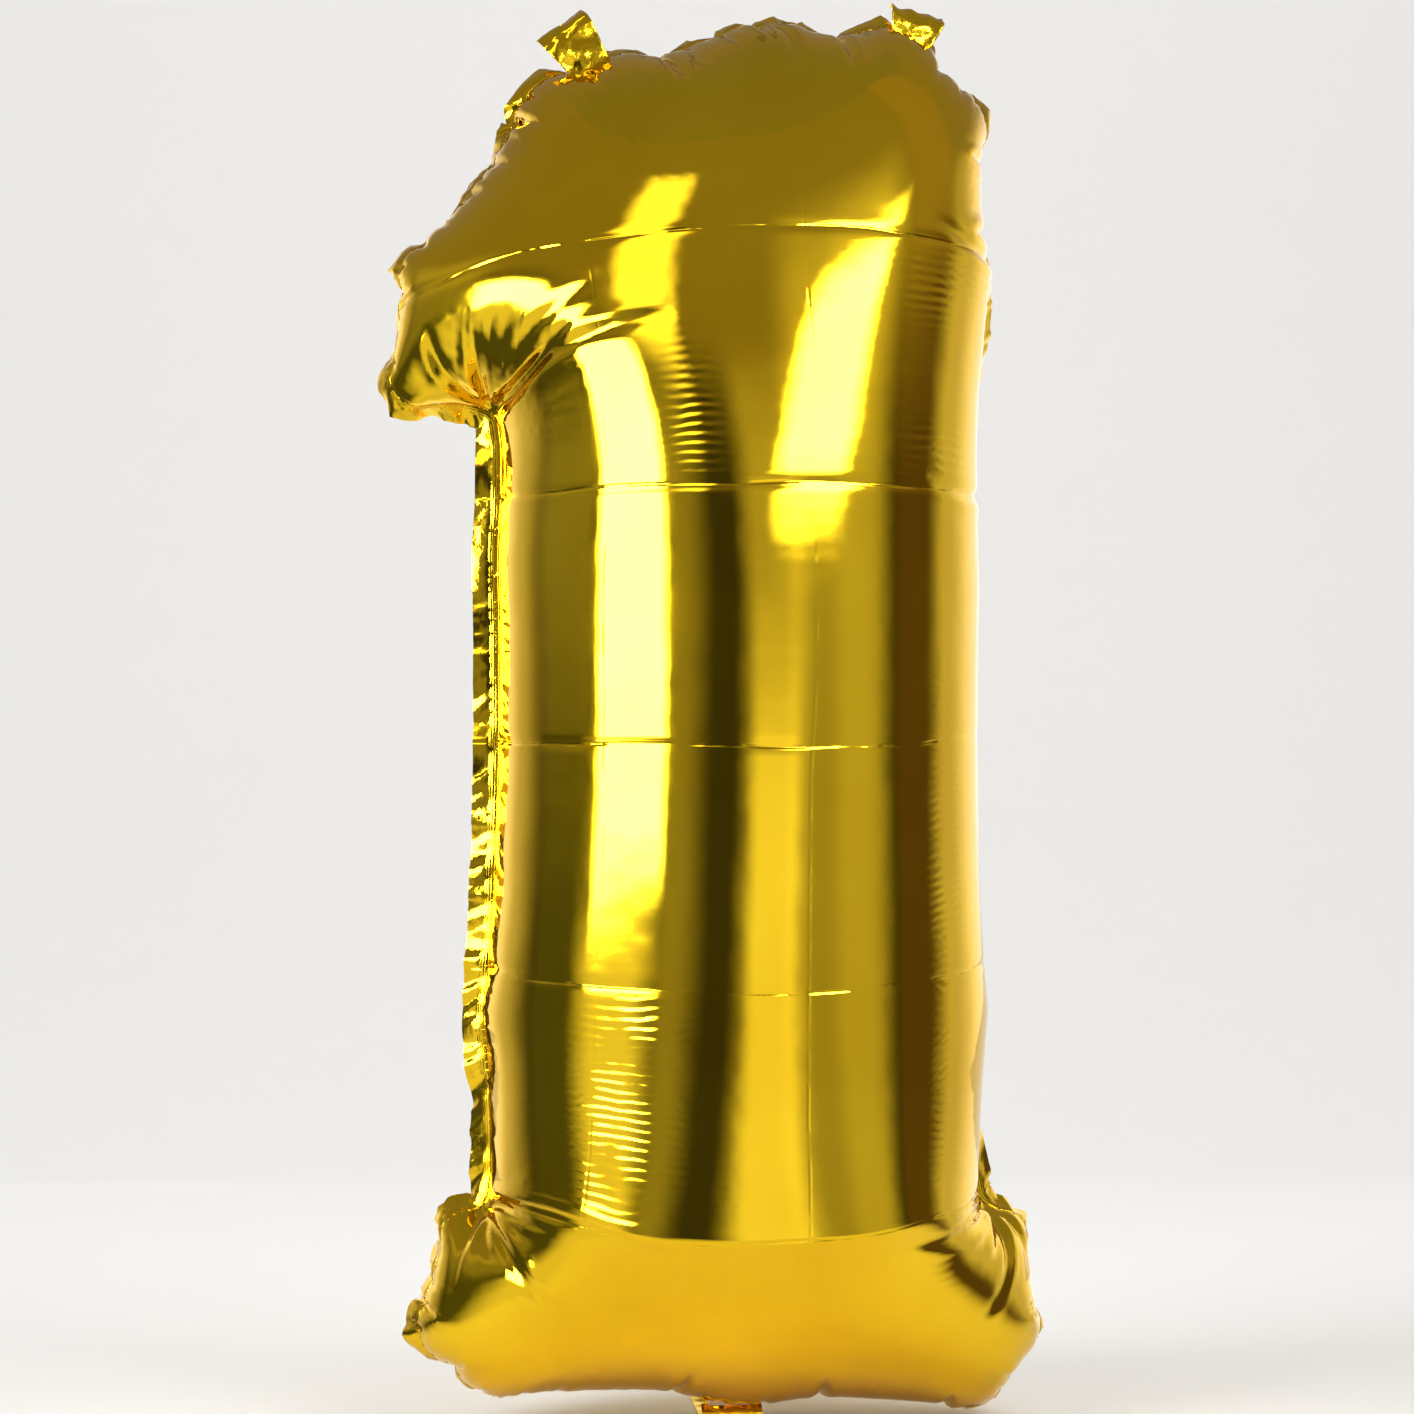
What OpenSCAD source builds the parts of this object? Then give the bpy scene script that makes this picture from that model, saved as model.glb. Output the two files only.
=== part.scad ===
// Foil number balloon in the shape of a 1, inflated.
// Two film panels are sealed to each other round the edge of the numeral. A loose margin
// stands outside the seal, with two punched hanging tabs on its top edge and a filling
// neck on its bottom edge. Inside the neck a lay-flat valve sleeve lets gas in only.
// X runs across the front, Y runs from the front to the back, and Z is up.
// The origin is midway between the two hanging holes, where the balloon is held.

/* [Numeral] */
// Height of the inflated body, from the bottom seam to the top seam
body_h = 850; // [700:5:1050]
// Radius of the inflated shaft, which is also half its width
shaft_r = 146; // [120:1:180]
// Reach of the foot past each side of the shaft
foot_out = 54; // [45:1:90]
// Height of the foot's outer end
foot_h = 118; // [95:1:150]
// Rise of the foot's top edge from its outer end to the shaft
foot_rise = 17; // [8:1:30]
// Reach of the flag past the shaft's left side
flag_out = 76; // [65:1:110]
// Height of the head, from the corner under the flag to the top seam
head_h = 250; // [220:5:330]
// Rise of the flag's underside from the shaft to its tip
flag_rise = 32; // [20:1:50]
// Height of the flag's outer end
flag_end_h = 70; // [50:1:90]
// Lean of the flag's outer end towards the shaft
flag_lean = 10; // [0:1:20]
// Distance of the slope's upper corner from the shaft's axis
shoulder_x = 88; // [70:1:110]

/* [Corner radii] */
// Lower corners of the foot
foot_low_r = 45; // [30:1:60]
// Upper corners of the foot
foot_top_r = 35; // [25:1:45]
// Upper corner beside the shaft's straight side
head_r = 45; // [35:1:60]
// Upper corner at the start of the slope
shoulder_r = 60; // [40:1:80]
// Corner between the slope and the flag's end
flag_top_r = 30; // [20:1:40]
// Tip of the flag
flag_tip_r = 22; // [15:1:30]
// Inward corners beside the shaft
inner_r = 20; // [18:1:26]

/* [Inflation] */
// Height over which the bottom of the body rounds in to its seam
bottom_round = 130; // [90:1:180]
// Height over which the top of the body rounds in to its seam
top_round = 150; // [100:1:200]

/* [Film and seal] */
// Wall of one film panel
film_t = 0.7; // [0.4:0.1:1.2]
// Thickness of the fused layer between the panels
seal_t = 0.2; // [0.1:0.1:0.4]
// Width of the fused band outside the seam line
seal_w = 6; // [4:0.5:8]
// Width of the flat margin outside the seam line
margin_w = 16; // [12:0.5:17]
// Width of the free film outside the fused band along the bottom edge
bottom_free_w = 1; // [0.5:0.5:8]

/* [Hanging tabs] */
// Width of a hanging tab
tab_w = 34; // [24:1:40]
// Length of a hanging tab from its fold
tab_l = 26; // [22:1:34]
// Radius of a tab's outer corners
tab_corner_r = 9; // [5:0.5:11]
// Radius of the punched hanging hole
hole_r = 3; // [2:0.25:4]
// Distance of the hole's centre from the tab's fold
hole_out = 14; // [11:0.5:16]
// Lean of the left tab away from upright
left_lean = 35; // [25:1:45]
// Lean of the right tab away from upright
right_lean = 15; // [5:1:30]

/* [Filling neck] */
// Width of the neck
neck_w = 38; // [30:1:48]
// Length of the neck from its fold
neck_l = 56; // [40:1:70]
// Width of each welded side of the neck
neck_weld_w = 3; // [2:0.5:4]
// Thickness of the lay-flat passage in the neck
neck_gap = 0.3; // [0.2:0.1:0.6]
// Angle of the tucked neck, counted backwards from straight down
neck_tuck = 100; // [90:1:104]

/* [Valve sleeve] */
// Width of the sleeve
valve_w = 30; // [22:1:34]
// Length of the sleeve inside the body
valve_l = 95; // [60:1:110]
// Thickness of one sleeve film
valve_film_t = 0.5; // [0.3:0.1:0.7]
// Thickness of the lay-flat passage in the sleeve
valve_gap = 0.3; // [0.2:0.1:0.6]
// Width of each welded side of the sleeve
valve_weld_w = 3; // [2:0.5:4]
// Height of the sleeve's root above the bottom seam
valve_root = 2.5; // [2:0.5:5]

/* [Clearance] */
// Gap between two pieces that move past each other
hinge_gap = 0.3; // [0.3:0.05:0.6]

/* [Hidden] */
$fn = 64;

// Film colours: lit gold foil, foil in shade, fused foil and clear sleeve film
GOLD = [0.86, 0.68, 0.16];
DEEP_GOLD = [0.70, 0.50, 0.10];
SEAL_GOLD = [0.55, 0.38, 0.08];
CLEAR = [0.90, 0.92, 0.94];

// Steps of the panels' mesh: across it, and up each stretch of its outline
COLUMNS = 12;
BOTTOM_ROWS = 7;
FOOT_ROWS = 10;
SHAFT_ROWS = 4;
FLAG_ROWS = 14;
TOP_ROWS = 9;
// The largest step of a rounded corner, in degrees
ARC_STEP = 15;
// The steepest edge that the inner wall follows, as a multiple of the wall
MAX_INSET = 4;
// Half the height over which an edge's slope is read
SLOPE_SPAN = 0.5;
// Overshoot of a cutting body past the piece that it cuts
CUT = 1;

tab_t = 2 * film_t + seal_t;
neck_t = 2 * film_t + neck_gap;
bottom_margin_w = seal_w + bottom_free_w;
foot_reach = shaft_r + foot_out;
foot_join_z = foot_h + foot_rise;
flag_reach = shaft_r + flag_out;
flag_root_z = body_h - head_h;
flag_tip_z = flag_root_z + flag_rise;
flag_top_z = flag_tip_z + flag_end_h;

// Corners of the seam line as [x, z, radius], anticlockwise from the foot's lower left
SEAM = [
  [-foot_reach, 0, foot_low_r],
  [foot_reach, 0, foot_low_r],
  [foot_reach, foot_h, foot_top_r],
  [shaft_r, foot_join_z, inner_r],
  [shaft_r, body_h, head_r],
  [-shoulder_x, body_h, shoulder_r],
  [flag_lean - flag_reach, flag_top_z, flag_top_r],
  [-flag_reach, flag_tip_z, flag_tip_r],
  [-shaft_r, flag_root_z, inner_r],
  [-shaft_r, foot_join_z, inner_r],
  [-foot_reach, foot_h, foot_top_r]
];
HEAD = 4;
SHOULDER = 5;
RIGHT_SIDE = [1, 2, 3, 4];
LEFT_SIDE = [5, 6, 7, 8, 9, 10, 0];

function unit(v) = v / norm(v);
function left_of(v) = [-v.y, v.x];
function right_of(v) = [v.y, -v.x];
function turned(v, a) = [v.x * cos(a) - v.y * sin(a), v.x * sin(a) + v.y * cos(a)];
function mix(a, b, t) = a + (b - a) * t;
function joined(lists) = [for (l = lists) for (p = l) p];

// Place of corner i, and the directions of the edges before and after it
function at(c, i) = [c[i].x, c[i].y];
function into(c, i) = unit(at(c, i) - at(c, (i + len(c) - 1) % len(c)));
function out_of(c, i) = unit(at(c, (i + 1) % len(c)) - at(c, i));
function hand(c, i) = sign(cross(into(c, i), out_of(c, i)));
function turn(c, i) = acos(into(c, i) * out_of(c, i));

// Centre of the arc that rounds corner i, and the arc's points
function arc_start(c, i) = at(c, i) - into(c, i) * c[i].z * tan(turn(c, i) / 2);
function arc_centre(c, i) = arc_start(c, i) + hand(c, i) * c[i].z * left_of(into(c, i));
function arc(c, i) =
  let (m = arc_centre(c, i), spoke = arc_start(c, i) - m, n = ceil(turn(c, i) / ARC_STEP) + 1)
  [for (k = [0:n]) m + turned(spoke, hand(c, i) * turn(c, i) * k / n)];
function outline(c) = joined([for (i = [0:len(c) - 1]) arc(c, i)]);

// The same corners, moved outwards by d
function grown(c, d) = [
  for (i = [0:len(c) - 1])
    let (
      a = right_of(into(c, i)),
      b = right_of(out_of(c, i)),
      p = at(c, i) + d * (a + b) / (1 + a * b)
    )
    [p.x, p.y, c[i].z + hand(c, i) * d]
];

// X of the seam line on its left and right side at height z
LEFT_CHAIN = [for (i = LEFT_SIDE) for (p = arc(SEAM, i)) [p.y, p.x]];
RIGHT_CHAIN = [for (i = RIGHT_SIDE) for (p = arc(SEAM, i)) [p.y, p.x]];
function left_x(z) = lookup(z, LEFT_CHAIN);
function right_x(z) = lookup(z, RIGHT_CHAIN);
function slope(chain, z) =
  (lookup(z + SLOPE_SPAN, chain) - lookup(z - SLOPE_SPAN, chain)) / (2 * SLOPE_SPAN);
function inset(chain, z) = film_t * min(MAX_INSET, norm([1, slope(chain, z)]));

// Depth of the body in front of the seam plane at height z
function ends(z) = min(z / bottom_round, (body_h - z) / top_round, 1);
function depth(z) = shaft_r * sqrt(1 - pow(1 - ends(z), 2));

// Heights of the mesh rows: close together at both ends and beside the corners
LOW_Z = foot_h - foot_top_r;
FOOT_Z = foot_join_z + inner_r;
FLAG_Z = flag_root_z - inner_r;
HEAD_Z = flag_tip_z + flag_tip_r;
function steps(a, b, n) = [for (k = [0:n - 1]) mix(a, b, k / n)];
ROWS = concat(
  [for (k = [0:BOTTOM_ROWS - 1]) LOW_Z * (1 - cos(90 * k / BOTTOM_ROWS))],
  steps(LOW_Z, FOOT_Z, FOOT_ROWS),
  steps(FOOT_Z, FLAG_Z, SHAFT_ROWS),
  steps(FLAG_Z, HEAD_Z, FLAG_ROWS),
  [for (k = [0:TOP_ROWS]) mix(HEAD_Z, body_h, sin(90 * k / TOP_ROWS))]
);
LAST_ROW = len(ROWS) - 1;

// Height of a row on the inner wall, one wall inside the outer one at both ends
function inner_z(z) =
  z < bottom_round ? film_t + z * (bottom_round - film_t) / bottom_round
  : z > body_h - top_round
  ? body_h - film_t - (body_h - z) * (top_round - film_t) / top_round
  : z;

// A point of the outer wall and of the inner wall of the front panel.
// Each row is half an ellipse on each side of the shaft's axis.
function across(a, lo, hi) = cos(a) > 0 ? lo * cos(a) : -hi * cos(a);
function outer_point(i, j) =
  let (z = ROWS[i], a = 180 * j / COLUMNS)
  [across(a, left_x(z), right_x(z)), -seal_t / 2 - film_t - depth(z) * sin(a), z];
function inner_point(i, j) =
  let (
    z = ROWS[i],
    a = 180 * j / COLUMNS,
    lo = left_x(z) + inset(LEFT_CHAIN, z),
    hi = right_x(z) - inset(RIGHT_CHAIN, z)
  )
  [across(a, lo, hi), -seal_t / 2 - depth(z) * sin(a), inner_z(z)];

// The grid's border as [row, column], anticlockwise as seen from the front
BORDER = concat(
  [for (j = [0:COLUMNS]) [0, j]],
  [for (i = [1:LAST_ROW]) [i, COLUMNS]],
  [for (j = [COLUMNS - 1:-1:0]) [LAST_ROW, j]],
  [for (i = [LAST_ROW - 1:-1:1]) [i, 0]]
);
BORDER_N = len(BORDER);

// Border point k in the seam plane, and the outward direction there
function border_point(k) =
  let (b = BORDER[(k + BORDER_N) % BORDER_N], p = outer_point(b.x, b.y))
  [p.x, p.z];
function outward(k) = unit(
  right_of(unit(border_point(k) - border_point(k - 1)))
  + right_of(unit(border_point(k + 1) - border_point(k)))
);

// Border point k moved to the edge of the margin, which narrows where it faces down
function margin_point(k) =
  let (n = outward(k), down = max(0, -n.y))
  border_point(k) + mix(margin_w, bottom_margin_w, down * down) * n;

// One film panel: a domed wall with a flat margin round it, as a closed mesh
module panel() {
  grid_n = (LAST_ROW + 1) * (COLUMNS + 1);
  points = concat(
    [for (i = [0:LAST_ROW]) for (j = [0:COLUMNS]) outer_point(i, j)],
    [for (i = [0:LAST_ROW]) for (j = [0:COLUMNS]) inner_point(i, j)],
    [for (k = [0:BORDER_N - 1]) let (p = margin_point(k)) [p.x, -seal_t / 2 - film_t, p.y]],
    [for (k = [0:BORDER_N - 1]) let (p = margin_point(k)) [p.x, -seal_t / 2, p.y]]
  );
  function grid(i, j) = i * (COLUMNS + 1) + j;
  function edge(k) = grid(BORDER[k % BORDER_N].x, BORDER[k % BORDER_N].y);
  function front_edge(k) = 2 * grid_n + k % BORDER_N;
  function back_edge(k) = 2 * grid_n + BORDER_N + k % BORDER_N;
  function quad(a, b, c, d) = [[a, b, c], [a, c, d]];
  faces = concat(
    [
      for (i = [0:LAST_ROW - 1]) for (j = [0:COLUMNS - 1])
        for (f = quad(grid(i, j), grid(i + 1, j), grid(i + 1, j + 1), grid(i, j + 1))) f
    ],
    [
      for (i = [0:LAST_ROW - 1]) for (j = [0:COLUMNS - 1])
        for (f = quad(grid(i, j), grid(i, j + 1), grid(i + 1, j + 1), grid(i + 1, j)))
          [for (v = f) v + grid_n]
    ],
    [
      for (k = [0:BORDER_N - 1])
        for (f = quad(edge(k), edge(k + 1), front_edge(k + 1), front_edge(k))) f
    ],
    [
      for (k = [0:BORDER_N - 1])
        for (f = quad(
          edge(k) + grid_n, back_edge(k), back_edge(k + 1), edge(k + 1) + grid_n
        )) f
    ],
    [
      for (k = [0:BORDER_N - 1])
        for (f = quad(front_edge(k), front_edge(k + 1), back_edge(k + 1), back_edge(k))) f
    ]
  );
  polyhedron(points, faces);
}

// Fold line of a tab: on the ray from a rounded corner's centre, clear of the margin's edge
function tab_root(i, lean) =
  let (away = SEAM[i].z + margin_w + hinge_gap + tab_t / 2)
  arc_centre(SEAM, i) + away * [sin(lean), cos(lean)];
function tab_hole(i, lean) = tab_root(i, lean) + hole_out * [sin(lean), cos(lean)];
LEFT_HOLE = tab_hole(SHOULDER, -left_lean);
RIGHT_HOLE = tab_hole(HEAD, right_lean);
HANG_POINT = (LEFT_HOLE + RIGHT_HOLE) / 2;

// Puts the origin midway between the two hanging holes
module hung() {
  translate([-HANG_POINT.x, 0, -HANG_POINT.y]) children();
}

// A flat outline drawn in X and Z, given a thickness about the plane y
module upright(y, t) {
  translate([0, y + t / 2, 0]) rotate([90, 0, 0]) linear_extrude(t) children();
}

// Tab with round outer corners and its punched hole, folding about its lower edge
module tab(i, lean) {
  root = tab_root(i, lean);
  translate([root.x, 0, root.y]) rotate([0, lean, 0]) upright(0, tab_t) difference() {
    union() {
      translate([-tab_w / 2, 0]) square([tab_w, tab_l - tab_corner_r]);
      translate([tab_corner_r - tab_w / 2, 0]) square([tab_w - 2 * tab_corner_r, tab_l]);
      for (s = [-1, 1])
        translate([s * (tab_w / 2 - tab_corner_r), tab_l - tab_corner_r]) circle(tab_corner_r);
    }
    translate([0, hole_out]) circle(hole_r);
  }
}

// Frame of the tucked neck: its length runs down local Z, and its front ply is at -Y
module tucked() {
  translate([0, 0, -bottom_margin_w - hinge_gap - neck_t / 2]) rotate([neck_tuck, 0, 0]) children();
}

module neck_ply(side) {
  y = side * (neck_gap + film_t) / 2;
  tucked() upright(y, film_t) translate([-neck_w / 2, -neck_l]) square([neck_w, neck_l]);
}

// Two strips that join a pair of films along their long edges
module side_strips(w, l, strip_w, gap) {
  for (s = [-1, 1])
    upright(0, gap) translate([s * (w - strip_w) / 2 - strip_w / 2, 0]) square([strip_w, l]);
}

module sleeve_film(side) {
  y = side * (valve_gap + valve_film_t) / 2;
  upright(y, valve_film_t) translate([-valve_w / 2, valve_root]) square([valve_w, valve_l]);
}

module front_panel() { color(GOLD) hung() panel(); }

module rear_panel() { color(GOLD) hung() mirror([0, 1, 0]) panel(); }

// The fused band, open where the valve's passage crosses it
module heat_seal() {
  color(SEAL_GOLD) hung() upright(0, seal_t) difference() {
    polygon(outline(grown(SEAM, seal_w)));
    polygon(outline(SEAM));
    translate([-valve_w / 2, -seal_w - CUT]) square([valve_w, seal_w + 2 * CUT]);
  }
}

module hanging_tab_left() { color(DEEP_GOLD) hung() tab(SHOULDER, -left_lean); }

module hanging_tab_right() { color(DEEP_GOLD) hung() tab(HEAD, right_lean); }

module neck_front_ply() { color(GOLD) hung() neck_ply(-1); }

module neck_rear_ply() { color(GOLD) hung() neck_ply(1); }

module neck_side_welds() {
  color(SEAL_GOLD) hung() tucked() translate([0, 0, -neck_l])
    side_strips(neck_w, neck_l, neck_weld_w, neck_gap);
}

module valve_film_front() { color(CLEAR) hung() sleeve_film(-1); }

module valve_film_rear() { color(CLEAR) hung() sleeve_film(1); }

module valve_side_welds() {
  color(CLEAR) hung() translate([0, 0, valve_root])
    side_strips(valve_w, valve_l, valve_weld_w, valve_gap);
}

front_panel();
rear_panel();
heat_seal();
hanging_tab_left();
hanging_tab_right();
neck_front_ply();
neck_rear_ply();
neck_side_welds();
valve_film_front();
valve_film_rear();
valve_side_welds();
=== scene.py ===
"""Looks of a foil number balloon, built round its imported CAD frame."""

import logging
import math
from dataclasses import dataclass, field
from enum import Enum

import bpy
import numpy as np
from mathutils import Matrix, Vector
from mathutils.geometry import delaunay_2d_cdt


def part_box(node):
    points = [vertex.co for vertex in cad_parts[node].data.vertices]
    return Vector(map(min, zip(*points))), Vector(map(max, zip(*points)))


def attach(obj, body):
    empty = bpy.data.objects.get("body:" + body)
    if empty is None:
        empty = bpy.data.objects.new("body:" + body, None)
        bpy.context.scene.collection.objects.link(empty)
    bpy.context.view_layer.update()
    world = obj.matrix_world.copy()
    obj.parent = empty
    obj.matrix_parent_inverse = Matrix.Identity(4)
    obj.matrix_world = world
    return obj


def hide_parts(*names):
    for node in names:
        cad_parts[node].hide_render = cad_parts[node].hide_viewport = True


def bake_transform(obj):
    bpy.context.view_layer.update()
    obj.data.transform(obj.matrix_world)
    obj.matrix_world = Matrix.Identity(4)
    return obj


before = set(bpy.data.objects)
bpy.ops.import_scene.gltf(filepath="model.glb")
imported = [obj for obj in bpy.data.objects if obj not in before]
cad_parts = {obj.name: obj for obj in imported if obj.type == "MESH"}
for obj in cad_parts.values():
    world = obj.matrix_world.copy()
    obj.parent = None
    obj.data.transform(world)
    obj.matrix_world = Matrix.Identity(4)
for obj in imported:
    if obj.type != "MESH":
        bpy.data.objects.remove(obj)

LOG = logging.getLogger("balloon")
Array = np.ndarray
Object = bpy.types.Object
Material = bpy.types.Material
Socket = bpy.types.NodeSocket

AXIS_X = -0.0042244  # the shaft's middle in the row frame
BASE_Z = -0.871566  # the body's lowest level in the row frame
TENT_HEIGHT = 4.0


class Panel(Enum):
    """Which film a triangle of the inflated mesh belongs to."""

    FRONT = 0
    REAR = 1
    MARGIN = 2


def unit(v: Array) -> Array:
    """Vectors of length 1 along v."""
    return v / np.maximum(np.linalg.norm(v, axis=-1, keepdims=True), 1e-12)


def smooth(t: Array) -> Array:
    """Eased 0 to 1 as t goes from 0 to 1."""
    t = np.clip(t, 0.0, 1.0)
    return t * t * (3 - 2 * t)


def waves(s: Array, length: float, seed: int, shortest: float, longest: float, count: int = 9) -> Array:
    """Smooth random waves along a closed edge.

    Args:
        s: Places along the edge in metres.
        length: Length of the edge.
        seed: Seed of the phases.
        shortest: Shortest wavelength.
        longest: Longest wavelength.
        count: How many waves are summed.

    Returns:
        Values of about -1 to 1.
    """
    rng = np.random.default_rng(seed)
    total = np.zeros_like(s)
    for k in range(count):
        wanted = longest * (shortest / longest) ** (k / max(count - 1, 1))
        turns = max(1, round(length / wanted))
        total += rng.uniform(0.6, 1.0) * np.sin(2 * math.pi * (turns * s / length + rng.random()))
    return total / math.sqrt(count)


def corner_sums(vectors: Array, tri: Array, count: int) -> Array:
    """Sums of the triangles' vectors at each of count vertices."""
    rows = tri.ravel(order="F")
    return np.stack([np.bincount(rows, np.tile(vectors[:, k], 3), count) for k in range(3)], axis=1)


def triangle_normals(points: Array, tri: Array) -> Array:
    """Normals of the triangles, twice as long as their areas."""
    p = points[tri]
    return np.cross(p[:, 1] - p[:, 0], p[:, 2] - p[:, 0])


def vertex_normals(points: Array, tri: Array) -> Array:
    """Unit normals of a triangle mesh's vertices."""
    return unit(corner_sums(triangle_normals(points, tri), tri, len(points)))


class Outline:
    """A closed curve of straight edges and rounded corners, run anticlockwise."""

    def __init__(self, corners: list[tuple[float, float, float]], step: float = 0.0005) -> None:
        """Rounds the corners.

        Args:
            corners: Across, up and radius of each corner, in metres.
            step: Longest chord in a rounding.
        """
        place = np.array([c[:2] for c in corners], float)
        points: list[Array] = []
        self.corner_starts: list[int] = []
        for i, (_, _, radius) in enumerate(corners):
            a, b = unit(place[i] - place[i - 1]), unit(place[(i + 1) % len(place)] - place[i])
            hand = math.copysign(1, a[0] * b[1] - a[1] * b[0])
            turn = math.acos(max(-1.0, min(1.0, float(a @ b))))
            start = place[i] - a * radius * math.tan(turn / 2)
            centre = start + hand * radius * np.array([-a[1], a[0]])
            count = max(2, math.ceil(turn * radius / step))
            arm = start - centre
            self.corner_starts.append(len(points) + count // 2)
            for t in np.linspace(0, hand * turn, count + 1):
                c, s = math.cos(t), math.sin(t)
                points.append(centre + np.array([arm[0] * c - arm[1] * s, arm[0] * s + arm[1] * c]))
        ring = np.array(points)
        self.points = np.vstack([ring, ring[:1]])
        lengths = np.linalg.norm(np.diff(self.points, axis=0), axis=1)
        self.along = np.concatenate([[0], np.cumsum(lengths)])
        self.length = float(self.along[-1])

    def station(self, corner: int) -> float:
        """Place along the curve of the middle of a corner."""
        return float(self.along[self.corner_starts[corner]])

    def at(self, s: Array) -> Array:
        """Points at the places s along the curve."""
        s = np.mod(s, self.length)
        return np.stack([np.interp(s, self.along, self.points[:, k]) for k in (0, 1)], axis=-1)

    def normal(self, s: Array, reach: float = 0.004) -> Array:
        """Outward directions at the places s."""
        t = unit(self.at(s + reach) - self.at(s - reach))
        return np.stack([t[..., 1], -t[..., 0]], axis=-1)

    def area(self) -> float:
        """Area inside the curve."""
        x, y = self.points[:, 0], self.points[:, 1]
        return float(0.5 * abs(np.sum(x[:-1] * y[1:] - x[1:] * y[:-1])))

    def holds(self, points: Array) -> Array:
        """Which points lie inside the curve."""
        hit = np.zeros(len(points), bool)
        x, y = points[:, 0], points[:, 1]
        coarse = self.points[::3]
        for (x0, y0), (x1, y1) in zip(coarse, np.roll(coarse, -1, axis=0)):
            if y0 != y1:
                hit ^= ((y0 > y) != (y1 > y)) & (x < x0 + (y - y0) * (x1 - x0) / (y1 - y0))
        return hit


@dataclass(frozen=True)
class Cut:
    """The flat shape that both films are cut to."""

    corners: tuple[tuple[float, float, float], ...] = (
        (-0.227, 0.066, 0.060),
        (-0.176, 0.020, 0.080),
        (0.000, -0.006, 0.300),
        (0.179, 0.004, 0.080),
        (0.225, 0.058, 0.060),
        (0.233, 0.138, 0.032),
        (0.218, 0.164, 0.014),
        (0.2293, 0.290, 0.200),
        (0.227, 0.560, 0.200),
        (0.222, 0.660, 0.150),
        (0.219, 0.760, 0.150),
        (0.194, 0.875, 0.080),
        (0.134, 0.938, 0.080),
        (0.020, 0.954, 0.200),
        (-0.090, 0.934, 0.120),
        (-0.154, 0.908, 0.100),
        (-0.252, 0.792, 0.060),
        (-0.276, 0.706, 0.028),
        (-0.226, 0.664, 0.014),
        (-0.2293, 0.580, 0.200),
        (-0.2293, 0.290, 0.200),
        (-0.218, 0.168, 0.014),
        (-0.232, 0.152, 0.032),
    )
    margin: float = 0.016
    seal: float = 0.006
    creases_across: tuple[float, ...] = (0.176, 0.320, 0.463, 0.615, 0.765)
    creases_up: tuple[float, ...] = (-0.108, 0.020)

    def outline(self) -> Outline:
        """The seam's curve."""
        return Outline(list(self.corners))

    def flat_size(self) -> tuple[float, float]:
        """Width and height of one film with its margin."""
        p = self.outline().points
        return float(np.ptp(p[:, 0])) + 2 * self.margin, float(np.ptp(p[:, 1])) + 2 * self.margin


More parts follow.
